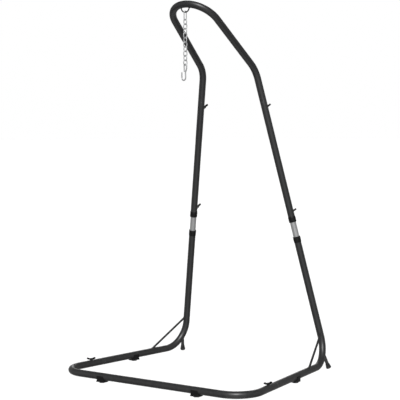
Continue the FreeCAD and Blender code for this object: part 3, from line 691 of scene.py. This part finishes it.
# ---------------------------------------------------------------- frame tubes
def base_front_tube():
    at = BASE_SEAM - SEAM_GAP / 2.0
    path = rounded([LEFT.on_rail(at), LEFT.front, RIGHT.front, RIGHT.on_rail(at)], [BEND_R, BEND_R])
    item = tube("front_tube_bent", path, UP, PLAIN_END, PLAIN_END)
    cut_away(item, [drill(leg.on_rail(BASE_BOLT_AT), UP, RIVET_HOLE_R) for leg in LEGS])
    place(item, "base", "powder_coat", "base_front_tube")


def leg_tube(leg):
    at = BASE_SEAM + SEAM_GAP / 2.0
    path = rounded([leg.on_rail(at), leg.rear, leg.on_upright(LEG_TOP)], [BEND_R])
    spigot = spigot_end(BASE_SPIGOT_R, BASE_SPIGOT_LENGTH)
    item = tube(leg.name + "_leg_bent", path, leg.lift, spigot, PLAIN_END)
    cut_away(item, [drill(leg.on_rail(BASE_BOLT_AT), UP)])
    place(item, leg.name + "_leg", "powder_coat", leg.name + "_leg_tube")


def middle_tube(leg):
    path = rounded([leg.on_upright(MIDDLE_FOOT), leg.on_upright(ARCH_SEAM - SEAM_GAP / 2.0)], [])
    item = tube(leg.name + "_middle_straight", path, leg.back, PLAIN_END, PLAIN_END)
    cut_away(item, [drill(leg.on_upright(at), leg.back) for at in (LOCK_BOLT_AT, ARCH_BOLT_AT)])
    place(item, "upper_frame", "powder_coat", leg.name + "_middle_tube")


def arch_tube():
    at = ARCH_SEAM + SEAM_GAP / 2.0
    points = [LEFT.on_upright(at), LEFT.shoulder, APEX, RIGHT.shoulder, RIGHT.on_upright(at)]
    path = rounded(points, [BEND_R] * 3, turn_step=math.radians(2.5))
    spigot = spigot_end(ARCH_SPIGOT_R, ARCH_SPIGOT_LENGTH)
    item = tube("arch_bent", path, ACROSS, spigot, spigot)
    cut_away(item, [drill(leg.on_upright(ARCH_BOLT_AT), leg.back) for leg in LEGS])
    place(item, "upper_frame", "powder_coat", "top_arch_tube")


def inner_tube(leg):
    path = rounded([leg.on_upright(INNER_FOOT), leg.on_upright(INNER_FOOT + INNER_LENGTH)], [])
    shell = Shell(56)
    frames = framed(path, leg.back)
    rings = []
    rim = [(0.0, 0.0006), (0.00015, 0.00025), (0.0005, 0.0)]
    for back, less in rim:
        rings.append((path[0][0] + leg.upright * back, *frames[0][1:], INNER_R - less, 1.0))
    rings += [(p, ex, ey, INNER_R, 0.0) for p, ex, ey in frames[1:-1]]
    for back, less in reversed(rim):
        rings.append((path[-1][0] - leg.upright * back, *frames[-1][1:], INNER_R - less, 1.0))
    rings += [(p, ex, ey, INNER_R - INNER_WALL, 0.0) for p, ex, ey in reversed(frames)]
    shell.loft(rings, closed=True)
    item = shell.make(leg.name + "_inner_sliding", STEEL)
    cut_away(item, [drill(leg.on_upright(LOCK_BOLT_AT + step * INNER_HOLE_PITCH), leg.back)
                    for step in (-1, 0, 1)])
    place(item, leg.name + "_leg", "zinc", leg.name + "_inner_tube")


# ---------------------------------------------------------------- collars
def collar(leg, where, lip_at, towards, lip_gap, body):
    """Moulded sleeve with a rolled lip, a shallow groove under it and a thinner skirt edge."""
    lip_r = INNER_R + lip_gap
    profile = [(0.0, lip_r + 0.0003), (0.0, COLLAR_R - 0.0012), (0.00035, COLLAR_R - 0.00045),
               (0.0012, COLLAR_R), (0.0052, COLLAR_R), (0.0056, COLLAR_R - 0.0004),
               (0.0066, COLLAR_R - 0.0004), (0.0070, COLLAR_R - 0.00005),
               (0.0270, COLLAR_R - 0.00015), (0.0274, COLLAR_R - 0.0005),
               (COLLAR_LENGTH - 0.0009, COLLAR_R - 0.0006),
               (COLLAR_LENGTH - 0.00025, COLLAR_R - 0.0009),
               (COLLAR_LENGTH, COLLAR_R - 0.0013), (COLLAR_LENGTH, TUBE_R + 0.0001),
               (COLLAR_LIP, TUBE_R), (COLLAR_LIP, lip_r), (0.0004, lip_r)]
    shell = Shell(72)
    shell.turned(leg.on_upright(lip_at), leg.upright * towards, profile, leg.back, closed=True)
    item = shell.make("%s_%s_sleeve" % (leg.name, where), PLASTIC, sharp=40.0)
    place(item, body, "black_plastic", "%s_%s_collar" % (leg.name, where))


# ---------------------------------------------------------------- wing bolts
def wing_head_mesh():
    """One moulded wing head, local Z along the bolt and local X along the wings."""
    hub = Shell(40)
    hub.turned(Vector(), UP,
               [(0.0, 0.0), (0.0, 0.0076), (0.0008, 0.0085), (0.0050, 0.0084), (0.0086, 0.0076),
                (0.0094, 0.0062), (0.0087, 0.0046), (0.0085, 0.0)])
    outline = [(0.0, 0.0012), (0.0066, 0.0012), (0.0125, 0.0021), (0.0190, 0.0037),
               (0.0233, 0.0060), (0.0246, 0.0090), (0.0242, 0.0121), (0.0217, 0.0139),
               (0.0176, 0.0140), (0.0134, 0.0122), (0.0094, 0.0102), (0.0050, 0.0095),
               (0.0, 0.0093)]
    half_thickness, taper = 0.0049, 0.018
    work = bmesh.new()
    for sign in (-1.0, 1.0):
        sides = []
        for face in (-1.0, 1.0):
            sides.append([work.verts.new((sign * x, face * (half_thickness - taper * x), z))
                          for x, z in outline])
        work.faces.new(sides[0])
        work.faces.new(sides[1])
        for i in range(len(outline)):
            j = (i + 1) % len(outline)
            work.faces.new((sides[0][i], sides[0][j], sides[1][j], sides[1][i]))
    mesh = bpy.data.meshes.new("wings")
    work.to_mesh(mesh)
    work.free()
    wings = finished(mesh, "wings", None, 30.0)
    body = hub.make("wing_head_blank")
    join = body.modifiers.new("join", "BOOLEAN")
    join.operation = "UNION"
    join.solver = "EXACT"
    join.use_self = True
    join.object = wings
    remesh = body.modifiers.new("remesh", "REMESH")
    remesh.mode = "VOXEL"
    remesh.voxel_size = 0.00042
    remesh.use_smooth_shade = True
    smooth = body.modifiers.new("smooth", "SMOOTH")
    smooth.factor = 0.6
    smooth.iterations = 7
    apply_modifiers(body)
    result = body.data
    bpy.data.objects.remove(body)
    bpy.data.objects.remove(wings)
    result.materials.clear()
    result.materials.append(PLASTIC)
    return result


WING_HEAD = wing_head_mesh()


def seat_matrix(origin, z_axis, x_hint, turn):
    """Local Z on z_axis and local X at an angle turn from x_hint."""
    ex = unit(x_hint - z_axis * x_hint.dot(z_axis))
    ey = z_axis.cross(ex)
    spun = ex * math.cos(turn) + ey * math.sin(turn)
    other = z_axis.cross(spun)
    matrix = Matrix((spun, other, z_axis)).transposed().to_4x4()
    matrix.translation = origin
    return matrix


def wing_bolt(leg, which, origin, axis, hint, turn, hub_base, tip):
    """The moulded head and its threaded shank; distances are from the tube's axis."""
    label = "%s_%s" % (leg.name, which)
    head = add_object(label + "_wing_head", WING_HEAD)
    head.matrix_world = seat_matrix(origin + axis * hub_base, axis, hint, math.radians(turn))
    place(head, label + "_bolt", "black_plastic", label + "_wing_bolt")
    shank = Shell(28)
    pitch, depth = 0.00125, 0.00038
    profile = [(tip, 0.0), (tip, BOLT_R - 0.0011), (tip + 0.0008, BOLT_R - 0.0002)]
    at = tip + 0.0010
    while at < hub_base - 0.0030:
        profile += [(at, BOLT_R - depth, 1.0), (at + pitch * 0.45, BOLT_R),
                    (at + pitch * 0.55, BOLT_R)]
        at += pitch
    profile += [(hub_base - 0.0012, BOLT_R - 0.0001), (hub_base + 0.0040, BOLT_R - 0.0001),
                (hub_base + 0.0040, 0.0)]
    shank.turned(origin, axis, profile, hint)
    place(shank.make(label + "_shank", ZINC), label + "_bolt", "zinc")


# ---------------------------------------------------------------- nuts
def weld_nut(shell, origin, axis):
    low, high, round_over = TUBE_R - 0.0010, TUBE_R + NUT_RISE, 0.0006
    shell.turned(origin, axis, [
        (low, NUT_R), (high - round_over, NUT_R),
        (high - round_over * 0.3, NUT_R - round_over * 0.3), (high, NUT_R - round_over),
        (high, NUT_BORE + 0.0005), (high - 0.0005, NUT_BORE), (low, NUT_BORE)], closed=True)


def upper_nuts():
    nuts = Shell(44)
    beads = Shell(14)
    for leg in LEGS:
        for at in (LOCK_BOLT_AT, ARCH_BOLT_AT):
            origin = leg.on_upright(at)
            weld_nut(nuts, origin, leg.back)
            weld_bead(beads, origin, leg.back, NUT_R, line_gap(origin, leg.upright), 0.0016,
                      at * 9.0)
    place(nuts.make("weld_nuts_turned", COAT), "upper_frame", "powder_coat", "upper_weld_nuts")
    place(beads.make("weld_nut_beads", COAT), "upper_frame", "powder_coat")


def base_nuts():
    shell = Shell(44)
    for leg in LEGS:
        shell.turned(leg.on_rail(BASE_BOLT_AT), UP, [
            (TUBE_R - 0.0021, 0.0058), (TUBE_R - 0.0004, 0.0058), (TUBE_R - 0.0003, 0.0062),
            (TUBE_R + 0.0006, 0.0064), (TUBE_R + 0.0010, 0.0060),
            (TUBE_R + 0.0010, NUT_BORE + 0.0005), (TUBE_R + 0.0006, NUT_BORE),
            (TUBE_R - 0.0021, NUT_BORE)], closed=True)
    # painted shade: the rings are drawn in near-black zinc, standing in for the shade under the wing
    # hubs
    place(shell.make("base_rivet_nut_rings", ZINC_PAINTED_SHADE), "base", "zinc", "base_rivet_nuts")


# ---------------------------------------------------------------- saddle feet
def block_outline(half_x, half_y, round_by, z, per_corner=5):
    points = []
    for sx, sy, start in ((1, 1, 0.0), (-1, 1, 90.0), (-1, -1, 180.0), (1, -1, 270.0)):
        for i in range(per_corner):
            angle = math.radians(start + 90.0 * i / (per_corner - 1))
            points.append((sx * (half_x - round_by) + round_by * math.cos(angle),
                           sy * (half_y - round_by) + round_by * math.sin(angle), z))
    return points


def saddle_mesh():
    """The foot block: local X along the tube, origin on the tube's axis."""
    # height, half length, half width and corner radius, from the lips down to the flared foot
    levels = [(0.0040, 0.0225, 0.0201, 0.0030), (0.0034, 0.0230, 0.0205, 0.0030),
              (-0.0060, 0.0227, 0.0206, 0.0028), (-0.0130, 0.0227, 0.0203, 0.0026),
              (-0.0185, 0.0231, 0.0197, 0.0022), (-0.0220, 0.0242, 0.0190, 0.0018),
              (-0.0246, 0.0264, 0.0187, 0.0014), (-0.0256, 0.0274, 0.0186, 0.0012),
              (-0.0280, 0.0275, 0.0185, 0.0011), (-0.0285, 0.0270, 0.0181, 0.0010)]
    work = bmesh.new()
    loops = [[work.verts.new(p) for p in block_outline(hx, hy, rb, z)] for z, hx, hy, rb in levels]
    for one, other in zip(loops, loops[1:]):
        for i in range(len(one)):
            j = (i + 1) % len(one)
            work.faces.new((one[i], one[j], other[j], other[i]))
    work.faces.new(loops[0])
    work.faces.new(loops[-1])
    mesh = bpy.data.meshes.new("saddle")
    work.to_mesh(mesh)
    work.free()
    block = finished(mesh, "saddle_block", None, 30.0)
    seat = Shell(96)
    seat.turned(Vector((-0.04, 0.0, 0.0)), ACROSS,
                [(0.0, TUBE_R + 0.00005), (0.08, TUBE_R + 0.00005)], UP)
    cutters = [seat.make("seat")]
    # a moulded relief pocket in each end face
    for sign in (-1.0, 1.0):
        relief = Shell(4)
        relief.turned(Vector((sign * 0.0230, 0.0, -0.0215)), Vector((sign, 0.0, 0.0)),
                      [(-0.0014, 0.0016), (0.004, 0.0020)], Vector((0.0, 1.0, 1.0)))
        cutters.append(relief.make("relief"))
    cut_away(block, cutters)
    bevel = block.modifiers.new("bevel", "BEVEL")
    bevel.width = 0.00035
    bevel.segments = 2
    bevel.limit_method = "ANGLE"
    bevel.angle_limit = math.radians(40.0)
    apply_modifiers(block)
    result = block.data
    bpy.data.objects.remove(block)
    shade_smooth(result, 35.0)
    result.materials.clear()
    result.materials.append(PLASTIC)
    return result


SADDLE = saddle_mesh()


def foot_pair(label, origin, direction, body):
    """A saddle under a tube and the rubber button below it."""
    block = add_object(label + "_saddle_block", SADDLE)
    block.matrix_world = seat_matrix(origin, UP, direction, 0.0)
    place(block, body, "black_plastic", label + "_saddle")
    shell = Shell(56)
    shell.turned(Vector((origin.x, origin.y, 0.0)), UP, [
        (0.0006, 0.0), (0.0006, 0.0080), (0.0001, 0.0088), (0.0001, 0.0132), (0.0004, 0.0144),
        (0.0012, 0.0152), (0.0022, 0.0155), (0.0034, 0.0155), (0.0040, 0.0151), (0.0045, 0.0144),
        (0.0045, 0.0)])
    place(shell.make(label + "_glide_button", RUBBER), body, "black_rubber", label + "_glide")


# ---------------------------------------------------------------- rear stubs, feet and braces
def stub_and_foot(leg):
    """The rod behind the bottom bend and its foot cap, whose lower edge stands on the floor."""
    edge, socket_depth, sunk = 0.012, 0.007, -0.0110
    foot = Vector((leg.side * REAR_FOOT_OUT, SHIFT.y - REAR_FOOT_IN_FRONT, 0.0))
    outward = unit(leg.rail * 0.87 - leg.lift * 0.5)
    root = leg.bend_centre + outward * BEND_R
    axis = unit(root - foot)
    for _ in range(3):
        foot.z = edge * math.sin(axis.angle(UP))
        axis = unit(root - foot)
    skin = arc_gap(leg.bend_centre, leg.normal)
    socket = foot + axis * socket_depth
    reach = (root - socket).length
    while skin(socket + axis * reach) < sunk and reach > 0.0:
        reach -= SEARCH_STEP
    body = leg.name + "_leg"
    rod = Shell(40)
    rod_r = STUB_R - 0.00005
    rod.turned(socket, axis, [(0.0, 0.0), (0.0, STUB_R - 0.0006), (0.0006, rod_r),
                              (reach * 0.5, rod_r), (reach, rod_r), (reach, 0.0)], leg.rail)
    place(rod.make(leg.name + "_stub_rod", COAT), body, "powder_coat", leg.name + "_rear_stub")
    beads = Shell(14)
    weld_bead(beads, root, axis * -1.0, STUB_R, skin, 0.0022, leg.side)
    place(beads.make(leg.name + "_stub_bead", COAT), body, "powder_coat")
    cap = Shell(56)
    bore = STUB_R + 0.00005
    cap.turned(foot, axis, [
        (0.0008, 0.0), (0.0008, 0.0072), (0.0002, 0.0080), (0.0, 0.0116), (0.0006, 0.0131),
        (0.0019, 0.0141), (0.0036, 0.01445), (0.0086, 0.01445), (0.0102, 0.0139), (0.0126, 0.0131),
        (0.0136, 0.01285), (0.0146, 0.01285), (0.0150, 0.0126), (0.0190, 0.01195),
        (0.0226, 0.01175), (0.0252, 0.0117), (0.0258, 0.0113), (0.0260, 0.0107),
        (0.0257, bore + 0.0005), (0.0248, bore), (0.0068, bore), (0.0068, 0.0)], leg.rail)
    place(cap.make(leg.name + "_foot_cap", RUBBER), body, "black_rubber", leg.name + "_rear_foot")


def brace(leg):
    """The rod welded to the outer flanks of the rail and the upright."""
    outwards = leg.normal * (leg.side * BRACE_OUT)
    low = leg.on_rail(BRACE_RAIL_AT) + outwards
    high = leg.on_upright(BRACE_UPRIGHT_AT) + outwards
    axis = unit(high - low)
    length = (high - low).length
    rail_gap = line_gap(leg.rear, leg.rail)
    upright_gap = line_gap(leg.rear, leg.upright)
    sunk, overlap = -0.0012, 0.003
    start = 0.0
    while rail_gap(low + axis * start) < sunk:
        start += SEARCH_STEP
    end = length
    while upright_gap(low + axis * end) < sunk:
        end -= SEARCH_STEP
    rod = Shell(36)
    rod.turned(low, axis, [(start - overlap, 0.0), (start - overlap, BRACE_R),
                           (length * 0.5, BRACE_R), (end + overlap, BRACE_R),
                           (end + overlap, 0.0)], leg.normal)
    body = leg.name + "_leg"
    place(rod.make(leg.name + "_brace_rod", COAT), body, "powder_coat", leg.name + "_brace")
    beads = Shell(14)
    weld_bead(beads, low, axis, BRACE_R, rail_gap, 0.0020, 1.0)
    weld_bead(beads, high, axis * -1.0, BRACE_R, upright_gap, 0.0020, 2.0)
    place(beads.make(leg.name + "_brace_beads", COAT), body, "powder_coat")


# ---------------------------------------------------------------- hanger loop
def hanger_loop():
    skin = arc_gap(ARC_CENTRE, ARC_NORMAL)
    feet = [LOOP_BOTTOM + Vector((sign * LOOP_R, 0.0, 0.0)) for sign in (-1.0, 1.0)]
    tops = []
    for foot in feet:
        # up from below until the rod's axis is just inside the arch tube's skin
        reach = 0.020
        while skin(foot + UP * reach) > -0.0010:
            reach += SEARCH_STEP
        tops.append(foot + Vector((0.0, 0.0, reach)))
    path = rounded([tops[0], feet[0], feet[1], tops[1]], [LOOP_R - 1e-6, LOOP_R - 1e-6],
                   spacing=0.004, turn_step=math.radians(5.0))
    rod = Shell(28)
    rod.loft([(p, ex, ey, LOOP_ROD_R, 0.0) for p, ex, ey in framed(path, ALONG)])
    place(rod.make("loop_rod", COAT), "upper_frame", "powder_coat", "hanger_loop")
    beads = Shell(14)
    for sign in (-1.0, 1.0):
        above = LOOP_BOTTOM + Vector((sign * LOOP_R, 0.0, 0.060))
        weld_bead(beads, above, UP * -1.0, LOOP_ROD_R, skin, 0.0017, sign)
    place(beads.make("loop_beads", COAT), "upper_frame", "powder_coat")


# ---------------------------------------------------------------- chain and hook
def heading(turns):
    """A level direction, so many quarter turns from the chain's own."""
    angle = CHAIN_TURN + math.pi / 2.0 * turns
    return Vector((math.cos(angle), math.sin(angle), 0.0))


def in_plane(origin, across, points):
    """Points (x, z) in the upright plane through origin along across, in metres."""
    return [origin + across * x + UP * z for x, z in points]


def chain_link(number, top, across, inner_length, spacing):
    """An oval of round wire, butt-welded at the middle of one straight side."""
    length = inner_length + 2.0 * CHAIN_R
    half = spacing / 2.0
    corners = [(-half, -length / 2.0), (-half, -length), (half, -length), (half, 0.0), (-half, 0.0),
               (-half, -length / 2.0)]
    path = rounded(in_plane(top, across, corners), [half - 1e-6] * 4, spacing=0.0008,
                   turn_step=math.radians(6.0))
    if (path[-1][0] - path[0][0]).length < 1e-6:
        path.pop()
    joint = in_plane(top, across, [(half, -length / 2.0)])[0]
    weld_swell, weld_reach, unevenness = 0.13, 0.0011, 0.006
    shell = Shell(24)
    rings = []
    for point, ex, ey in framed(path, across.cross(UP)):
        away = (point - joint).length
        swell = 1.0 + weld_swell * math.exp(-(away / weld_reach) ** 2)
        swell += random.uniform(-unevenness, unevenness)
        rings.append((point, ex, ey, CHAIN_R * swell, 0.0))
    shell.loft(rings, closed=True)
    item = shell.make("chain_oval_%d" % number, ZINC)
    place(item, "link_%d" % number, "zinc", "chain_link_%d" % number)


def hook(top, across):
    """Round wire: closed eye round the last link, slanted shank, open bowl and domed tips."""
    eye, bowl, length, right = 0.0106, 0.0162, 0.085, 0.0032
    left = right - 2.0 * bowl
    points = [(-0.0076, -0.0405), (-eye, 0.0), (eye, 0.0), (eye, -0.023), (0.0006, -0.044),
              (right, -length), (left, -length), (left, -0.041)]
    radii = [eye - 0.0006, eye - 0.0006, 0.011, 0.014, bowl - 0.0009, bowl - 0.0009]
    path = rounded(in_plane(top, across, points), radii, spacing=0.004, turn_step=math.radians(5.0))
    frames = framed(path, across.cross(UP))
    rod = Shell(28)
    rings = []
    first, first_tangent = path[0]
    last, last_tangent = path[-1]
    for back, radius in rod_end(HOOK_R):
        rings.append((first + first_tangent * back, *frames[0][1:], radius, 1.0))
    for point, ex, ey in frames[1:-1]:
        if (point - first).length > HOOK_R * 1.1 and (point - last).length > HOOK_R * 1.1:
            rings.append((point, ex, ey, HOOK_R, 0.0))
    for back, radius in reversed(rod_end(HOOK_R)):
        rings.append((last - last_tangent * back, *frames[-1][1:], radius, 1.0))
    rod.loft(rings)
    place(rod.make("hook_wire", ZINC), "hook", "zinc", "s_hook")


def chain_and_hook():
    top = LOOP_BOTTOM + UP * (LOOP_ROD_R + CHAIN_R + LINK_GAP)
    chain_link(0, top, heading(1), FIRST_LINK_INNER, FIRST_LINK_SPACING)
    top = top - UP * (FIRST_LINK_INNER - LINK_GAP)
    for number in range(1, LAST_LINK + 1):
        chain_link(number, top, heading(0 if number % 2 else 1), LINK_INNER, LINK_SPACING)
        top = top - UP * (LINK_INNER - LINK_GAP)
    hook(top + UP * (HOOK_R - CHAIN_R), heading(0))


# ---------------------------------------------------------------- build
base_front_tube()
base_nuts()
arch_tube()
upper_nuts()
hanger_loop()
chain_and_hook()
for one in LEGS:
    leg_tube(one)
    inner_tube(one)
    middle_tube(one)
    collar(one, "lower", LEG_TOP + COLLAR_LIP, -1.0, COLLAR_GRIP_GAP, one.name + "_leg")
    collar(one, "upper", MIDDLE_FOOT - COLLAR_LIP, 1.0, COLLAR_SLIDE_GAP, "upper_frame")
    stub_and_foot(one)
    brace(one)
    wing_bolt(one, "base", one.on_rail(BASE_BOLT_AT), UP, one.rail,
              BASE_TURN[one.name], LOW_SEAT, BASE_BOLT_TIP)
    wing_bolt(one, "lock", one.on_upright(LOCK_BOLT_AT), one.back, one.upright,
              LOCK_TURN[one.name], HIGH_SEAT, LOCK_BOLT_TIP)
    wing_bolt(one, "arch", one.on_upright(ARCH_BOLT_AT), one.back, one.upright,
              ARCH_TURN[one.name], HIGH_SEAT, ARCH_BOLT_TIP)
    foot_pair(one.name + "_rail", one.on_rail(RAIL_FOOT_AT), one.rail, one.name + "_leg")
    foot_pair("front_" + one.name, Vector((one.side * FRONT_FOOT_AT, one.front.y, one.front.z)),
              ACROSS, "base")


# ---------------------------------------------------------------- floor, light and camera
FLOOR_R = 60.0
FLOOR_DROP = 0.0004
FLOOR_GLOW = 0.16
AMBIENT = 0.05
BACKDROP = 1.0


def floor():
    """A white floor that throws no light back on the stand."""
    look = Look("studio_floor", specular=0.2)
    tone = look.ramp(look.noise(0.8, 3.0), [(0.3, (0.855, 0.855, 0.855)),
                                            (0.7, (0.870, 0.870, 0.870))])
    look.shader.inputs["Emission Color"].default_value = (1.0, 1.0, 1.0, 1.0)
    look.shader.inputs["Emission Strength"].default_value = FLOOR_GLOW
    material = look.finish(tone, look.span(look.noise(2.0), 0.2, 0.8, 0.80, 0.90))
    mesh = bpy.data.meshes.new("studio_floor")
    work = bmesh.new()
    bmesh.ops.create_circle(work, cap_ends=True, segments=96, radius=FLOOR_R)
    work.to_mesh(mesh)
    work.free()
    mesh.materials.append(material)
    item = add_object("studio_floor", mesh)
    item.location.z = -FLOOR_DROP
    item.visible_diffuse = False
    item.visible_glossy = False


def sun(name, direction, strength, angle):
    """A shadowless light that travels along direction; the angle is how wide it spreads."""
    data = bpy.data.lights.new(name, "SUN")
    data.energy = strength
    data.angle = math.radians(angle)
    data.use_shadow = False
    item = add_object(name, data)
    item.rotation_mode = "QUATERNION"
    item.rotation_quaternion = Vector(direction).to_track_quat("-Z", "Y")


def studio_world(ambient_strength, backdrop_strength):
    """A dim even light on the stand, and a white backdrop that only the camera sees."""
    world = bpy.data.worlds.new("studio")
    world.use_nodes = True
    nodes = world.node_tree.nodes
    links = world.node_tree.links
    ambient = nodes["Background"]
    backdrop = nodes.new("ShaderNodeBackground")
    for node, strength in ((ambient, ambient_strength), (backdrop, backdrop_strength)):
        node.inputs["Color"].default_value = (1.0, 1.0, 1.0, 1.0)
        node.inputs["Strength"].default_value = strength
    chooser = nodes.new("ShaderNodeMixShader")
    links.new(nodes.new("ShaderNodeLightPath").outputs["Is Camera Ray"], chooser.inputs[0])
    links.new(ambient.outputs[0], chooser.inputs[1])
    links.new(backdrop.outputs[0], chooser.inputs[2])
    links.new(chooser.outputs[0], nodes["World Output"].inputs["Surface"])
    bpy.context.scene.world = world


floor()
studio_world(AMBIENT, BACKDROP)
bpy.context.scene.view_settings.view_transform = "Standard"
# name, direction of travel, strength, spread in degrees
for light in (("softbox", (-0.429, 0.638, -0.640), 4.6, 12.0),
              ("front_fill", (-0.50, 0.62, 0.60), 0.56, 70.0),
              ("floor_bounce", (0.0, 0.0, 1.0), 0.62, 70.0),
              ("camera_fill", (-0.57, 0.82, 0.0), 0.46, 70.0),
              ("left_fill", (0.82, 0.57, 0.0), 0.42, 70.0),
              ("right_fill", (-0.82, -0.57, 0.0), 0.30, 70.0),
              ("back_rim", (0.55, -0.78, -0.30), 0.12, 10.0),
              ("back_fill", (0.57, -0.82, 0.0), 0.56, 100.0),
              ("back_bounce", (0.49, -0.70, 0.52), 0.36, 100.0)):
    sun(*light)

# the camera stands in front of the stand and to its right, and looks slightly down
CAMERA_RIGHT = 3.995641
CAMERA_IN_FRONT = 6.213881
CAMERA_HEIGHT = 1.393648
YAW = math.radians(-35.126)
PITCH = math.radians(3.901)
ROLL = math.radians(-0.134)
FOCAL_LENGTH = 115.878
camera_data = bpy.data.cameras.new("camera")
camera_data.sensor_width = 36.0
camera_data.lens = FOCAL_LENGTH
camera = add_object("camera", camera_data)
bpy.context.scene.camera = camera
forward = Vector((math.sin(YAW) * math.cos(PITCH), math.cos(YAW) * math.cos(PITCH),
                  -math.sin(PITCH)))
across = Vector((math.cos(YAW), -math.sin(YAW), 0.0))
upward = across.cross(forward)
camera_x = across * math.cos(ROLL) + upward * math.sin(ROLL)
camera_y = upward * math.cos(ROLL) - across * math.sin(ROLL)
camera_matrix = Matrix((camera_x, camera_y, forward * -1.0)).transposed().to_4x4()
camera_matrix.translation = Vector((CAMERA_RIGHT, SHIFT.y - CAMERA_IN_FRONT,
                                    SHIFT.z + CAMERA_HEIGHT))
camera.matrix_world = camera_matrix
